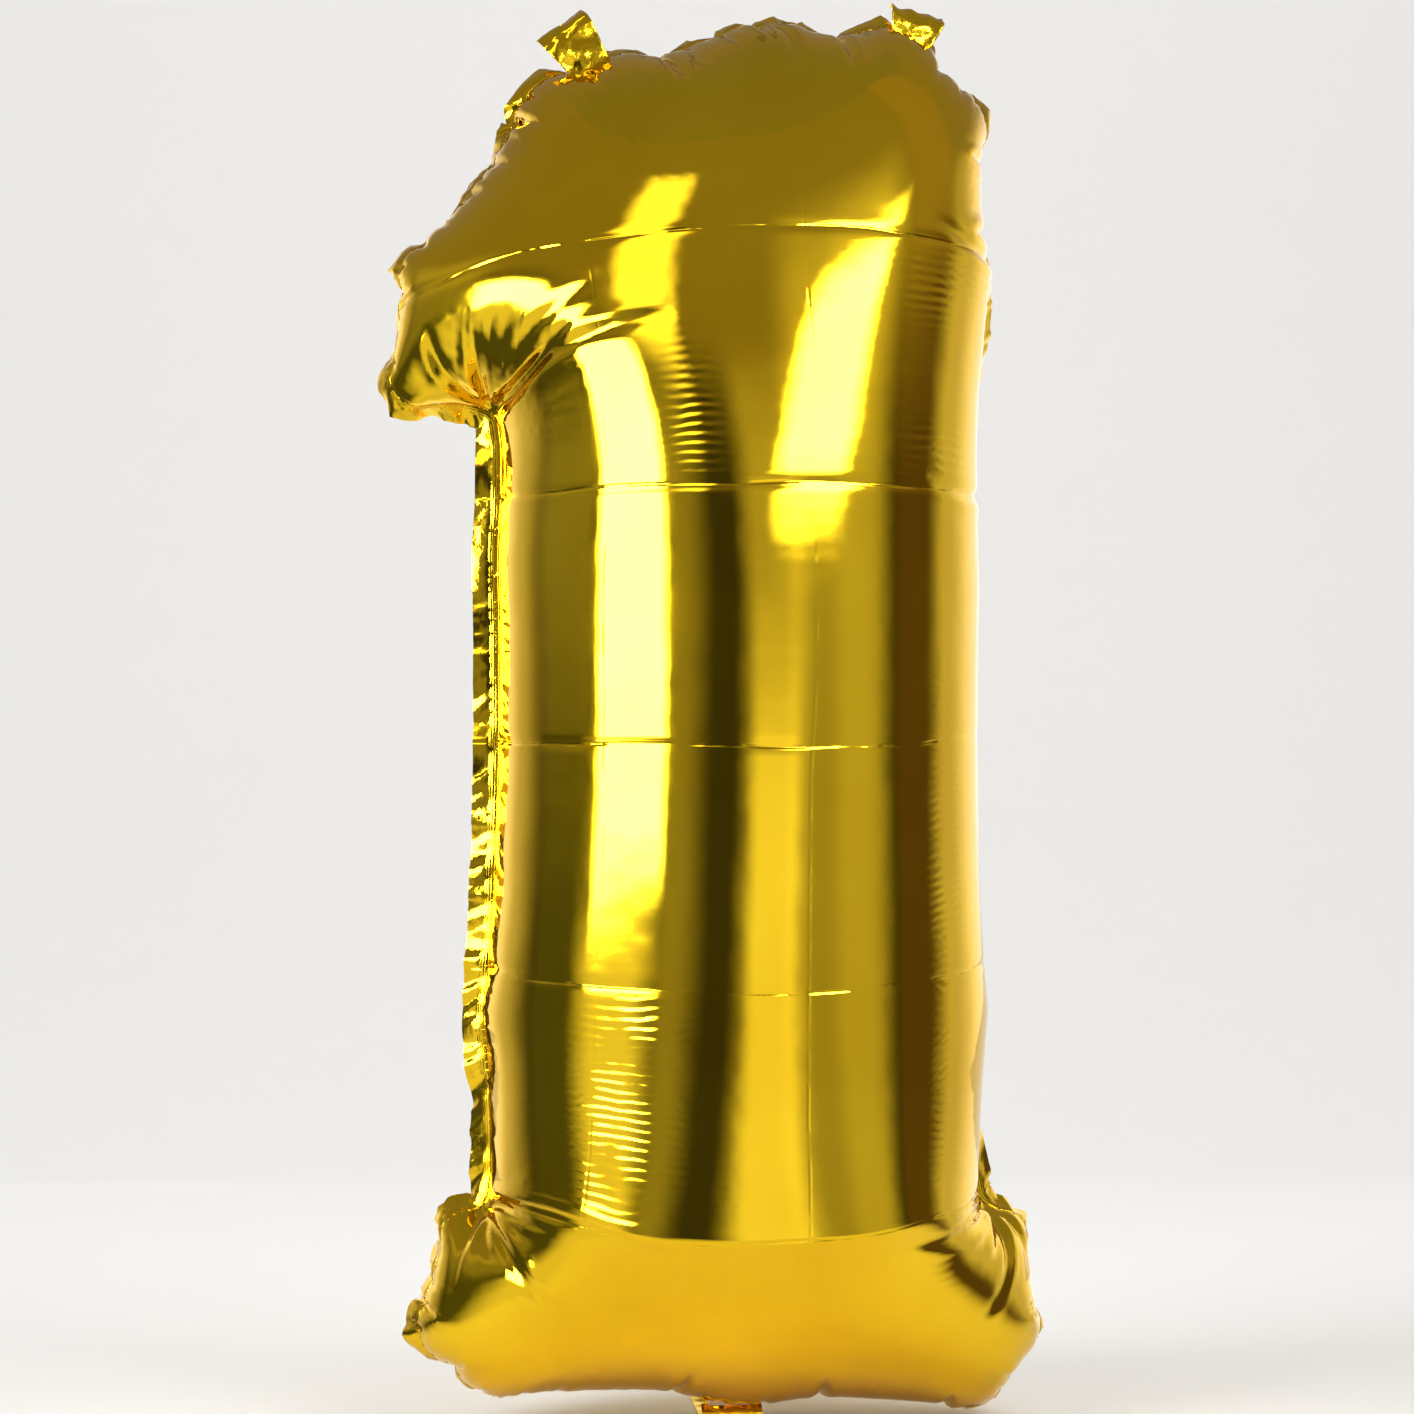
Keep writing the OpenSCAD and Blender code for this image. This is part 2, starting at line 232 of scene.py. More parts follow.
class FilmMesh:
    """Triangles of two flat films that share the seam and the margin outside it."""

    def __init__(self, outline: Outline, margin: float, spacing: float) -> None:
        """Cuts both films into triangles.

        Args:
            outline: The seam.
            margin: Width of film outside the seam.
            spacing: Length of a triangle's side.
        """
        self.outline = outline
        n = round(outline.length / spacing)
        s = np.arange(n) * outline.length / n
        seam = outline.at(s)
        inner = self._lattice(seam.min(0) + spacing / 3, seam.max(0), spacing)
        inner = inner[outline.holds(inner)]
        gap = np.min(np.linalg.norm(inner[:, None] - seam[None], axis=2), axis=1)
        inner = inner[gap > 0.62 * spacing]
        tri = self._triangles(np.vstack([seam, inner]), n)
        m = len(inner)
        front = np.where(tri < n, tri, tri + n)
        rear = np.where(tri < n, tri, tri + n + m)[:, ::-1]
        k, k1 = np.arange(n), (np.arange(n) + 1) % n
        strip = np.vstack([np.stack([k, n + k, n + k1], 1), np.stack([k, n + k1, k1], 1)])
        self.tri = np.vstack([front, rear, strip])
        self.panel = np.repeat([p.value for p in Panel], [len(front), len(rear), len(strip)])
        self.flat = np.vstack([seam, outline.at(s) + margin * outline.normal(s), inner, inner])
        self.s = np.concatenate([s, s, np.full(2 * m, np.nan)])
        self.off = np.concatenate([np.zeros(n), np.full(n, margin), np.full(2 * m, np.nan)])
        self.side = np.concatenate([np.zeros(2 * n), np.full(m, -1), np.full(m, 1)])
        self._find_edges()

    @staticmethod
    def _lattice(lo: Array, hi: Array, spacing: float) -> Array:
        """Points of a triangular lattice over a rectangle."""
        rows = []
        for j in range(int((hi[1] - lo[1]) / (spacing * math.sqrt(3) / 2)) + 1):
            xs = np.arange(lo[0] + (spacing / 2 if j % 2 else 0), hi[0], spacing)
            rows.append(np.stack([xs, np.full(len(xs), lo[1] + j * spacing * math.sqrt(3) / 2)], axis=1))
        return np.vstack(rows)

    @staticmethod
    def _triangles(points: Array, ring: int) -> Array:
        """Delaunay triangles inside the ring of the first points.

        Args:
            points: The ring and then the points in it.
            ring: How many points the ring has.

        Returns:
            Rows of three indices, anticlockwise.
        """
        made = delaunay_2d_cdt([Vector(p) for p in points], [], [list(range(ring))], 1, 1e-9)
        places = np.array([tuple(v) for v in made[0]])
        source = [
            o[0] if o else int(np.argmin(np.linalg.norm(points - places[k], axis=1)))
            for k, o in enumerate(made[3])
        ]
        tri = np.array([[source[i] for i in f] for f in made[2] if len({source[i] for i in f}) == 3])
        a = points[tri]
        turned = np.cross(a[:, 1] - a[:, 0], a[:, 2] - a[:, 0]) < 0
        tri[turned] = tri[turned][:, ::-1]
        return tri

    def _find_edges(self) -> None:
        """Lists the edges once each, with the film they lie in and their flat length."""
        t, p = self.tri, self.panel
        e = np.sort(np.vstack([t[:, [0, 1]], t[:, [1, 2]], t[:, [2, 0]]]), axis=1)
        q = np.concatenate([p, p, p])
        both = ~np.isnan(self.s[e[:, 0]]) & ~np.isnan(self.s[e[:, 1]])
        ds = np.abs(self.s[e[:, 0]] - self.s[e[:, 1]])
        ds = np.minimum(ds, self.outline.length - ds)
        step = self.outline.length / int((self.off == 0).sum())
        outer = (self.off[e[:, 0]] > 0) | (self.off[e[:, 1]] > 0) | (ds > 0.5 * step)
        q = np.where(both & (ds < 1.01 * step) & outer, Panel.MARGIN.value, q)
        key = (e[:, 0].astype(np.int64) * len(self.flat) + e[:, 1]) * 3 + q
        _, first, back = np.unique(key, return_index=True, return_inverse=True)
        self.edge, self.edge_panel = e[first], q[first]
        self.tri_edge = back.reshape(3, -1).T
        self.rest = np.linalg.norm(self.flat[self.edge[:, 0]] - self.flat[self.edge[:, 1]], axis=1)

    def split(self, x: Array) -> Array:
        """Splits each triangle into four.

        Args:
            x: Places of the vertices.

        Returns:
            Places of the old vertices and then the new ones.
        """
        n, e, length = len(self.flat), self.edge, self.outline.length
        middle = self.flat[e].mean(1)
        s0, s1 = self.s[e[:, 0]], self.s[e[:, 1]]
        s1 = s1 - length * np.round(np.nan_to_num((s1 - s0) / length))
        s, off = np.mod((s0 + s1) / 2, length), self.off[e].mean(1)
        along = (self.edge_panel == Panel.MARGIN.value) & ~np.isnan(s)
        s[~along] = off[~along] = np.nan
        k = np.flatnonzero(along)
        middle[k] = self.outline.at(s[k]) + off[k][:, None] * self.outline.normal(s[k])
        t, (a, b, c) = self.tri, (self.tri_edge + n).T
        self.tri = np.vstack(
            [np.stack(f, 1) for f in ((t[:, 0], a, c), (t[:, 1], b, a), (t[:, 2], c, b), (a, b, c))]
        )
        self.panel = np.tile(self.panel, 4)
        self.side = np.concatenate([self.side, np.array([-1, 1, 0])[self.edge_panel]])
        self.flat = np.vstack([self.flat, middle])
        self.s, self.off = np.concatenate([self.s, s]), np.concatenate([self.off, off])
        x = np.vstack([x, x[e].mean(1)])
        self._find_edges()
        return x


@dataclass(frozen=True)
class MarginLay:
    """How far the loose margin leans back from flat along the seam, in degrees at chosen corners."""

    lean: tuple[tuple[int, float], ...] = (
        (0, 72), (1, 92), (2, 92), (3, 95), (4, 95), (5, 92), (6, 70), (7, 84), (8, 88), (9, 80),
        (10, 52), (11, 64), (12, 40), (13, 66), (14, 60), (15, 34), (16, 74), (17, 84), (18, 26),
        (19, 14), (20, 34), (21, 52), (22, 86),
    )
    flutter: float = 26.0
    calm_corners: tuple[int, int] = (19, 20)
    pull: tuple[float, ...] = (0.70, 0.45, 0.22)

    def direction(self, mesh: FilmMesh) -> Array:
        """The way each margin vertex is drawn.

        Args:
            mesh: The films.

        Returns:
            One vector for each vertex, zero off the margin.
        """
        o, s = mesh.outline, np.nan_to_num(mesh.s)
        stations = np.array([o.station(i) for i, _ in self.lean])
        order = np.argsort(stations)
        stations, leans = stations[order], np.array([a for _, a in self.lean], float)[order]
        stations = np.concatenate([stations - o.length, stations, stations + o.length])
        lean = np.interp(s, stations, np.tile(leans, 3))
        a, b = (o.station(i) for i in self.calm_corners)
        calm = smooth((s - a + 0.05) / 0.05) * smooth((b + 0.05 - s) / 0.05)
        share = 1 - 0.75 * calm
        lean = lean + self.flutter * share * waves(s, o.length, 5, 0.022, 0.09)
        beta = np.radians(np.clip(lean, -10, 100))
        out = o.normal(s, 0.012)
        d = np.stack([out[:, 0] * np.cos(beta), np.sin(beta), out[:, 1] * np.cos(beta)], axis=1)
        return d * (np.nan_to_num(mesh.off) > 0)[:, None]


@dataclass(frozen=True)
class Inflation:
    """Blows the films up until the cut's lengths hold them."""

    spacing: float = 0.0116
    steps: tuple[int, ...] = (900, 320, 220)
    push: tuple[float, ...] = (3.0e-6, 1.5e-6, 6.0e-7)
    damp: float = 0.985
    squeeze: float = 0.35
    sideways: float = 0.003
    sink: float = 0.046

    def run(self, cut: Cut, lay: MarginLay, levels: int) -> tuple[FilmMesh, Array]:
        """Inflates from flat, coarse first.

        Args:
            cut: The flat shape.
            lay: How the margin leans.
            levels: How many times the triangles are split.

        Returns:
            The mesh and the places of its vertices in the row frame.
        """
        outline = cut.outline()
        mesh = FilmMesh(outline, cut.margin, self.spacing)
        x = np.stack([mesh.flat[:, 0], np.zeros(len(mesh.flat)), mesh.flat[:, 1]], axis=1)
        seam = outline.at(np.linspace(0, outline.length, 400))
        gap = np.min(np.linalg.norm(mesh.flat[:, None] - seam[None], axis=2), axis=1)
        x[:, 1] = mesh.side * np.minimum(gap, 0.1) * 0.5
        for level in range(levels + 1):
            if level:
                x = mesh.split(x)
            draw = lay.direction(mesh) * (lay.pull[level] * self.push[level])
            x = self._relax(mesh, x, draw, self.steps[level], self.push[level])
            LOG.info("films: level %d, %d triangles", level, len(mesh.tri))
        shaft = (mesh.off == 0) & (mesh.flat[:, 1] > 0.25) & (mesh.flat[:, 1] < 0.55)
        left, right = x[shaft & (x[:, 0] < 0), 0].mean(), x[shaft & (x[:, 0] > 0), 0].mean()
        x = x + np.array([AXIS_X + self.sideways - (left + right) / 2, 0, BASE_Z - self.sink])
        return mesh, x

    @staticmethod
    def _groups(mesh: FilmMesh) -> list[tuple[Array, Array, Array]]:
        """Edges in groups that share no vertex, each with its flat lengths."""
        used = [0] * len(mesh.flat)
        colour = np.zeros(len(mesh.edge), int)
        for k, (i, j) in enumerate(mesh.edge.tolist()):
            free = ~(used[i] | used[j])
            bit = free & -free
            used[i] |= bit
            used[j] |= bit
            colour[k] = bit.bit_length() - 1
        found = [np.flatnonzero(colour == c) for c in range(colour.max() + 1)]
        return [(mesh.edge[g, 0], mesh.edge[g, 1], mesh.rest[g]) for g in found if len(g)]

    def _relax(self, mesh: FilmMesh, x: Array, draw: Array, steps: int, push: float) -> Array:
        """Steps of pressure and of edges drawn back to their lengths.

        Args:
            mesh: The films.
            x: Places of the vertices.
            draw: How far each vertex is drawn in the first step, apart from the gas.
            steps: How many steps.
            push: How far the gas moves a vertex in the first step.

        Returns:
            The new places.
        """
        n, groups = len(x), self._groups(mesh)
        pressed = mesh.tri[mesh.panel != Panel.MARGIN.value]
        scale, v, normal = 0.0, np.zeros_like(x), np.zeros_like(x)
        for step in range(steps):
            if step % 4 == 0:
                face = triangle_normals(x, pressed)
                scale = scale or float(np.median(np.linalg.norm(face, axis=1))) * 3
                normal = corner_sums(face, pressed, n) / scale
            v = v * self.damp + push * normal + draw
            y = x + v
            for i, j, length in groups if step % 2 == 0 else groups[::-1]:
                d = y[j] - y[i]
                now = np.sqrt(np.einsum("ij,ij->i", d, d))
                w = (now - length) / now * 0.5
                d *= np.where(w < 0, w * self.squeeze, w)[:, None]
                y[i] += d
                y[j] -= d
            v, x = y - x, y
        return x


class Graph:
    """A node tree with short calls for its nodes and links."""

    def __init__(self, tree: bpy.types.NodeTree) -> None:
        """Keeps the tree."""
        self.tree = tree

    def add(self, kind: str, inputs: dict | None = None, **settings: object) -> bpy.types.Node:
        """Adds a node.

        Args:
            kind: The node's type name.
            inputs: Values or output sockets by input name or number.
            **settings: The node's own options.

        Returns:
            The node.
        """
        node = self.tree.nodes.new(kind)
        for name, value in settings.items():
            setattr(node, name, value)
        for key, value in (inputs or {}).items():
            if isinstance(value, Socket):
                self.tree.links.new(value, node.inputs[key])
            else:
                node.inputs[key].default_value = value
        return node

    def math(self, operation: str, a: object, b: object = 0.0, c: object = 0.0) -> Socket:
        """Result of a Math node on a, b and c."""
        return self.add("ShaderNodeMath", {0: a, 1: b, 2: c}, operation=operation).outputs[0]

    def ramp(self, value: object, lo: float, hi: float, start: float = 0.0, end: float = 1.0) -> Socket:
        """Value eased from lo..hi to start..end."""
        inputs = {0: value, 1: lo, 2: hi, 3: start, 4: end}
        return self.add("ShaderNodeMapRange", inputs, interpolation_type="SMOOTHSTEP").outputs[0]

    def noise(self, vector: object, scale: float, detail: float = 2.0) -> Socket:
        """Height of a Noise texture."""
        inputs = {"Vector": vector, "Scale": scale, "Detail": detail}
        return self.add("ShaderNodeTexNoise", inputs).outputs[0]


def blank_material(name: str) -> tuple[Material, Graph]:
    """A material with no nodes, and its graph."""
    m = bpy.data.materials.new(name)
    m.use_nodes = True
    m.node_tree.nodes.clear()
    return m, Graph(m.node_tree)


@dataclass(frozen=True)
class FoilFinish:
    """Metallised film: a mirror-like metal under a clear lacquer, with the film's own marks."""

    name: str = "gold_foil"
    colour: tuple[float, float, float] = (0.86, 0.560, 0.013)
    deep: tuple[float, float, float] = (0.80, 0.500, 0.009)
    edge: tuple[float, float, float] = (1.0, 0.92, 0.80)
    roughness: float = 0.065
    coat: float = 0.12
    crumple: float = 0.0
    creases_across: tuple[float, ...] = ()
    creases_up: tuple[float, ...] = ()
    crease_depth: float = 0.00035
    ripple_pitch: float = 0.0056
    ripple_depth: float = 0.00012

    def material(self) -> Material:
        """Builds the material."""
        m, g = blank_material(self.name)
        place = g.add("ShaderNodeTexCoord").outputs["Object"]
        tone = g.ramp(g.noise(place, 7.0, 3.0), 0.35, 0.65)
        tones = {0: tone, 6: (*self.colour, 1), 7: (*self.deep, 1)}
        colour = g.add("ShaderNodeMix", tones, data_type="RGBA").outputs[2]
        rough = g.ramp(g.noise(place, 23.0, 2.0), 0.3, 0.7, self.roughness * 0.75, self.roughness * 1.3)
        normal = self._marks(g, place)
        metal = {"Base Color": colour, "Metallic": 1.0, "Roughness": rough, "Normal": normal}
        metal["Specular Tint"] = (*self.edge, 1)
        lacquer = {"Coat Weight": self.coat, "Coat Roughness": 0.04, "Coat IOR": 1.5, "Coat Normal": normal}
        shader = g.add("ShaderNodeBsdfPrincipled", {**metal, **lacquer})
        g.add("ShaderNodeOutputMaterial", {0: shader.outputs[0]})
        return m

    def _marks(self, g: Graph, place: Socket) -> Socket:
        """Bump of creases, ripples and crumpling.

        Args:
            g: The material's graph.
            place: The Object coordinates.

        Returns:
            The bumped normal.
        """
        soft = g.math("MULTIPLY", g.noise(place, 16.0, 2.0), 0.0006)
        fine = g.math("MULTIPLY", g.noise(place, 90.0, 2.0), 0.00002)
        height = g.math("ADD", soft, fine)
        if self.creases_across or self.creases_up:
            uv = g.add("ShaderNodeSeparateXYZ", {0: g.add("ShaderNodeUVMap", uv_map="flat").outputs[0]})
            u, v = uv.outputs[0], uv.outputs[1]
            wander = g.math("MULTIPLY", g.math("SUBTRACT", g.noise(place, 9.0, 1.0), 0.5), 0.010)
            lines = [g.math("SUBTRACT", g.math("ADD", v, wander), z + 0.5) for z in self.creases_across]
            lines += [g.math("SUBTRACT", g.math("ADD", u, wander), x + 0.5) for x in self.creases_up]
            for k, line in enumerate(lines):
                near = g.ramp(g.math("ABSOLUTE", line), 0.0, 0.0016, 1.0, 0.0)
                broken = g.ramp(g.noise(place, 30.0 + 3 * k, 2.0), 0.38, 0.62, 0.25, 1.0)
                share = 1.0 if k < len(self.creases_across) else 0.14
                dent = g.math("MULTIPLY", g.math("MULTIPLY", near, broken), -share * self.crease_depth)
                height = g.math("ADD", height, dent)
            zone = g.add("ShaderNodeAttribute", attribute_name="ripple").outputs["Fac"]
            drift = g.math("MULTIPLY", g.noise(place, 16.0, 3.0), 14.0)
            turns = g.math("MULTIPLY", v, 2 * math.pi / self.ripple_pitch)
            phase = g.math("ADD", turns, drift)
            patchy = g.math("MULTIPLY", zone, g.ramp(g.noise(place, 38.0, 2.0), 0.36, 0.60, 0.2, 1.0))
            wave = g.math("MULTIPLY", g.math("SINE", phase), patchy)
            height = g.math("MULTIPLY_ADD", wave, self.ripple_depth, height)
        if self.crumple:
            loose = g.add("ShaderNodeAttribute", attribute_name="loose").outputs["Fac"]
            facets = g.add("ShaderNodeTexVoronoi", {"Vector": place, "Scale": 70.0}, feature="F1").outputs[0]
            folds = g.math("ADD", facets, g.math("MULTIPLY", g.noise(place, 150.0, 3.0), 0.5))
            height = g.math("MULTIPLY_ADD", g.math("MULTIPLY", folds, loose), self.crumple, height)
        return g.add("ShaderNodeBump", {"Strength": 1.0, "Distance": 1.0, "Height": height}).outputs[0]


@dataclass(frozen=True)
class ClearFinish:
    """Clear plastic film of the valve."""

    name: str = "clear_film"

    def material(self) -> Material:
        """Builds the material."""
        m, g = blank_material(self.name)
        place = g.add("ShaderNodeTexCoord").outputs["Object"]
        haze = g.ramp(g.noise(place, 60.0, 3.0), 0.3, 0.7, 0.12, 0.3)
        height = g.math("MULTIPLY", g.noise(place, 80.0, 3.0), 0.0002)
        bump = g.add("ShaderNodeBump", {"Strength": 1.0, "Distance": 1.0, "Height": height}).outputs[0]
        film = {"Base Color": (0.86, 0.88, 0.90, 1), "Roughness": haze, "Alpha": 0.45, "Normal": bump}
        shader = g.add("ShaderNodeBsdfPrincipled", {**film, "IOR": 1.5})
        g.add("ShaderNodeOutputMaterial", {0: shader.outputs[0]})
        return m


@dataclass(frozen=True)
class PaperFinish:
    """Matt paper that is clear from behind, or a lit panel when it has a glow."""

    name: str
    colour: tuple[float, float, float] = (0.9, 0.9, 0.9)
    glow: float = 0.0

    def material(self) -> Material:
        """Builds the material."""
        m, g = blank_material(self.name)
        if self.glow:
            shader = g.add("ShaderNodeEmission", {0: (*self.colour, 1), 1: self.glow})
        else:
            paper = g.add("ShaderNodeBsdfPrincipled", {"Base Color": (*self.colour, 1), "Roughness": 0.9})
            clear = g.add("ShaderNodeBsdfTransparent")
            behind = g.add("ShaderNodeNewGeometry").outputs["Backfacing"]
            shader = g.add("ShaderNodeMixShader", {0: behind, 1: paper.outputs[0], 2: clear.outputs[0]})
        g.add("ShaderNodeOutputMaterial", {0: shader.outputs[0]})
        return m


@dataclass(frozen=True)
class Glow:
    """A soft-edged bright patch of the light tent."""

    turns: tuple[float, float]  # degrees to the camera's right
    heights: tuple[float, float]
    strength: float
    colour: tuple[float, float, float] = (1.0, 1.0, 1.0)
    soft_turn: float = 4.0
    soft_height: float = 0.15
    slant: float = 0.0  # degrees further right for each metre up


@dataclass(frozen=True)
class TentFinish:
    """Light and dark areas of the ring round the object, by turn and height."""

    azimuth: float
    floor_z: float
    ambient: float = 0.045
    glows: tuple[Glow, ...] = (
        Glow((-67, -34), (0.24, 0.88), 30.0, (0.96, 0.98, 1.0), 3.0, 0.10),
        Glow((-72, -40), (0.0, 0.24), 0.9, soft_turn=8.0, soft_height=0.10),
        Glow((-36, -18), (0.0, 1.4), 0.26, soft_turn=8.0),
        Glow((-104, -70), (0.45, 1.4), 0.22, soft_turn=6.0, soft_height=0.25),
        Glow((-100, -72), (0.0, 0.6), 0.05, (0.8, 1.0, 0.6), 4.0, 0.2),
        Glow((-230, -112), (0.0, 1.15), 0.62, (1.0, 0.97, 0.93), 14.0, 0.35),
        Glow((-27, -9), (1.02, 2.9), 2.2, (1.0, 1.0, 0.9), 3.5, 0.2, 6.0),
        Glow((6, 27), (0.0, 0.45), 0.62, soft_turn=4.0, soft_height=0.25),
        Glow((3, 30), (0.0, 1.10), 0.45, soft_turn=6.0, soft_height=0.3),
        Glow((26, 72), (0.0, 1.9), 0.36, soft_turn=7.0, soft_height=0.5),
        Glow((46, 66), (0.0, 1.9), 0.16, soft_turn=6.0, soft_height=0.3),
        Glow((30, 60), (0.82, 1.52), 24.0, (0.96, 0.98, 1.0), 5.0, 0.16, 30.0),
        Glow((78, 102), (0.0, 4.0), 0.06, (1.0, 0.5, 0.3), 4.0),
        Glow((105, 230), (0.0, 1.15), 0.62, (1.0, 0.97, 0.93), 8.0, 0.35),
        Glow((-180, 180), (1.05, 4.0), 0.24, (1.0, 0.90, 0.72), soft_height=0.35),
    )

    def material(self, name: str, opening: tuple[float, float] | None = None) -> Material:
        """Builds the material.

        Args:
            name: Its name.
            opening: Radii between which it fades in from clear, for the part that lies on the floor.

        Returns:
            The material.
        """
        m, g = blank_material(name)
        place = g.add("ShaderNodeTexCoord").outputs["Object"]
        xyz = g.add("ShaderNodeSeparateXYZ", {0: place})
        x = g.math("SUBTRACT", xyz.outputs[0], AXIS_X)
        height = g.math("SUBTRACT", xyz.outputs[2], self.floor_z)
        turn = g.math("ARCTAN2", x, g.math("MULTIPLY", xyz.outputs[1], -1.0))
        turn = g.math("SUBTRACT", g.math("DEGREES", turn), self.azimuth)
        total = g.add("ShaderNodeCombineXYZ", {0: self.ambient, 1: self.ambient, 2: self.ambient}).outputs[0]
        for glow in self.glows:
            a, b = glow.turns
            middle = sum(glow.heights) / 2
            shift = g.math("MULTIPLY", g.math("SUBTRACT", height, middle), glow.slant)
            moved = g.math("SUBTRACT", turn, shift)
            here = g.math("WRAP", moved, (a + b) / 2 + 180.0, (a + b) / 2 - 180.0)
            s, h = glow.soft_turn, glow.soft_height
            low, high = glow.heights
            share = g.math("MULTIPLY", g.ramp(here, a - s, a + s), g.ramp(here, b - s, b + s, 1.0, 0.0))
            if low > 0:
                share = g.math("MULTIPLY", share, g.ramp(height, low - h, low + h))
            if high < TENT_HEIGHT:
                share = g.math("MULTIPLY", share, g.ramp(height, high - h, high + h, 1.0, 0.0))
            light = tuple(c * glow.strength for c in glow.colour)
            add = g.add("ShaderNodeVectorMath", {0: light}, operation="SCALE")
            g.tree.links.new(share, add.inputs["Scale"])
            total = g.add("ShaderNodeVectorMath", {0: total, 1: add.outputs[0]}, operation="ADD").outputs[0]
        shader = g.add("ShaderNodeEmission", {0: total, 1: 1.0}).outputs[0]
        if opening:
            flat = g.add("ShaderNodeCombineXYZ", {0: x, 1: xyz.outputs[1]})
            radius = g.add("ShaderNodeVectorMath", {0: flat.outputs[0]}, operation="LENGTH").outputs["Value"]
            clear = g.add("ShaderNodeBsdfTransparent").outputs[0]
            share = g.ramp(radius, *opening)
            shader = g.add("ShaderNodeMixShader", {0: share, 1: clear, 2: shader}).outputs[0]
        g.add("ShaderNodeOutputMaterial", {0: shader})
        return m


def mesh_object(name: str, points: Array, faces: Array | list, material: Material) -> Object:
    """Makes a smooth-shaded mesh object at the origin.

    Args:
        name: The piece's name.
        points: Places of the vertices in the row frame.
        faces: Rows of vertex numbers.
        material: The finish.

    Returns:
        The object.
    """
    data = bpy.data.meshes.new(name)
    rows = faces.tolist() if isinstance(faces, np.ndarray) else faces
    data.from_pydata(points.tolist(), [], rows)
    data.validate()
    data.shade_smooth()
    data.materials.append(material)
    made = bpy.data.objects.new(name, data)
    bpy.context.scene.collection.objects.link(made)
    return made


def set_uv(made: Object, flat: Array) -> None:
    """Stores flat places in metres as the UV map named flat, moved to stay positive."""
    layer = made.data.uv_layers.new(name="flat")
    index = np.zeros(len(made.data.loops), np.int32)
    made.data.loops.foreach_get("vertex_index", index)
    layer.data.foreach_set("uv", (flat[index] + 0.5).astype(np.float32).ravel())


def set_attribute(made: Object, name: str, values: Array) -> None:
    """Stores a number or a vector for each vertex under a name."""
    kind, key = ("FLOAT_VECTOR", "vector") if values.ndim == 2 else ("FLOAT", "value")
    layer = made.data.attributes.new(name, kind, "POINT")
    layer.data.foreach_set(key, values.astype(np.float32).ravel())


def grid_faces(rows: int, columns: int, base: int = 0) -> list[tuple[int, int, int, int]]:
    """Quads of a grid of points, the columns running fastest."""
    firsts = [base + i * columns + j for i in range(rows - 1) for j in range(columns - 1)]
    return [(k, k + 1, k + columns + 1, k + columns) for k in firsts]


def finished(made: Object) -> Object:
    """Puts the modifiers' result into the object's mesh and removes them."""
    shown = made.evaluated_get(bpy.context.evaluated_depsgraph_get())
    data = bpy.data.meshes.new_from_object(shown)
    made.modifiers.clear()
    old, made.data = made.data, data
    data.name = made.name
    bpy.data.meshes.remove(old)
    return made


@dataclass(frozen=True)
class Fold:
    """A groove that runs out from a pinched corner, in flat places of the film."""

    start: tuple[float, float]
    end: tuple[float, float]
    depth: float
    width: float = 0.0042

    def height(self, flat: Array) -> Array:
        """How far the fold moves the film off its blown-up shape at flat places."""
        a, b = np.array(self.start), np.array(self.end)
        d = b - a
        t = np.clip(((flat - a) @ d) / (d @ d), 0, 1)
        bow = np.array([-d[1], d[0]]) * 0.06 * np.sin(math.pi * t)[:, None]
        off = flat - (a + t[:, None] * d + bow)
        side = off @ np.array([-d[1], d[0]]) / np.linalg.norm(d)
        reach = np.linalg.norm(off, axis=1) / self.width
        groove = -np.exp(-(reach**2)) + 0.45 * np.exp(-((side / self.width - 1.7) ** 2)) * (reach < 4)
        return self.depth * groove * (1 - t) ** 0.6 * smooth(t * 12)


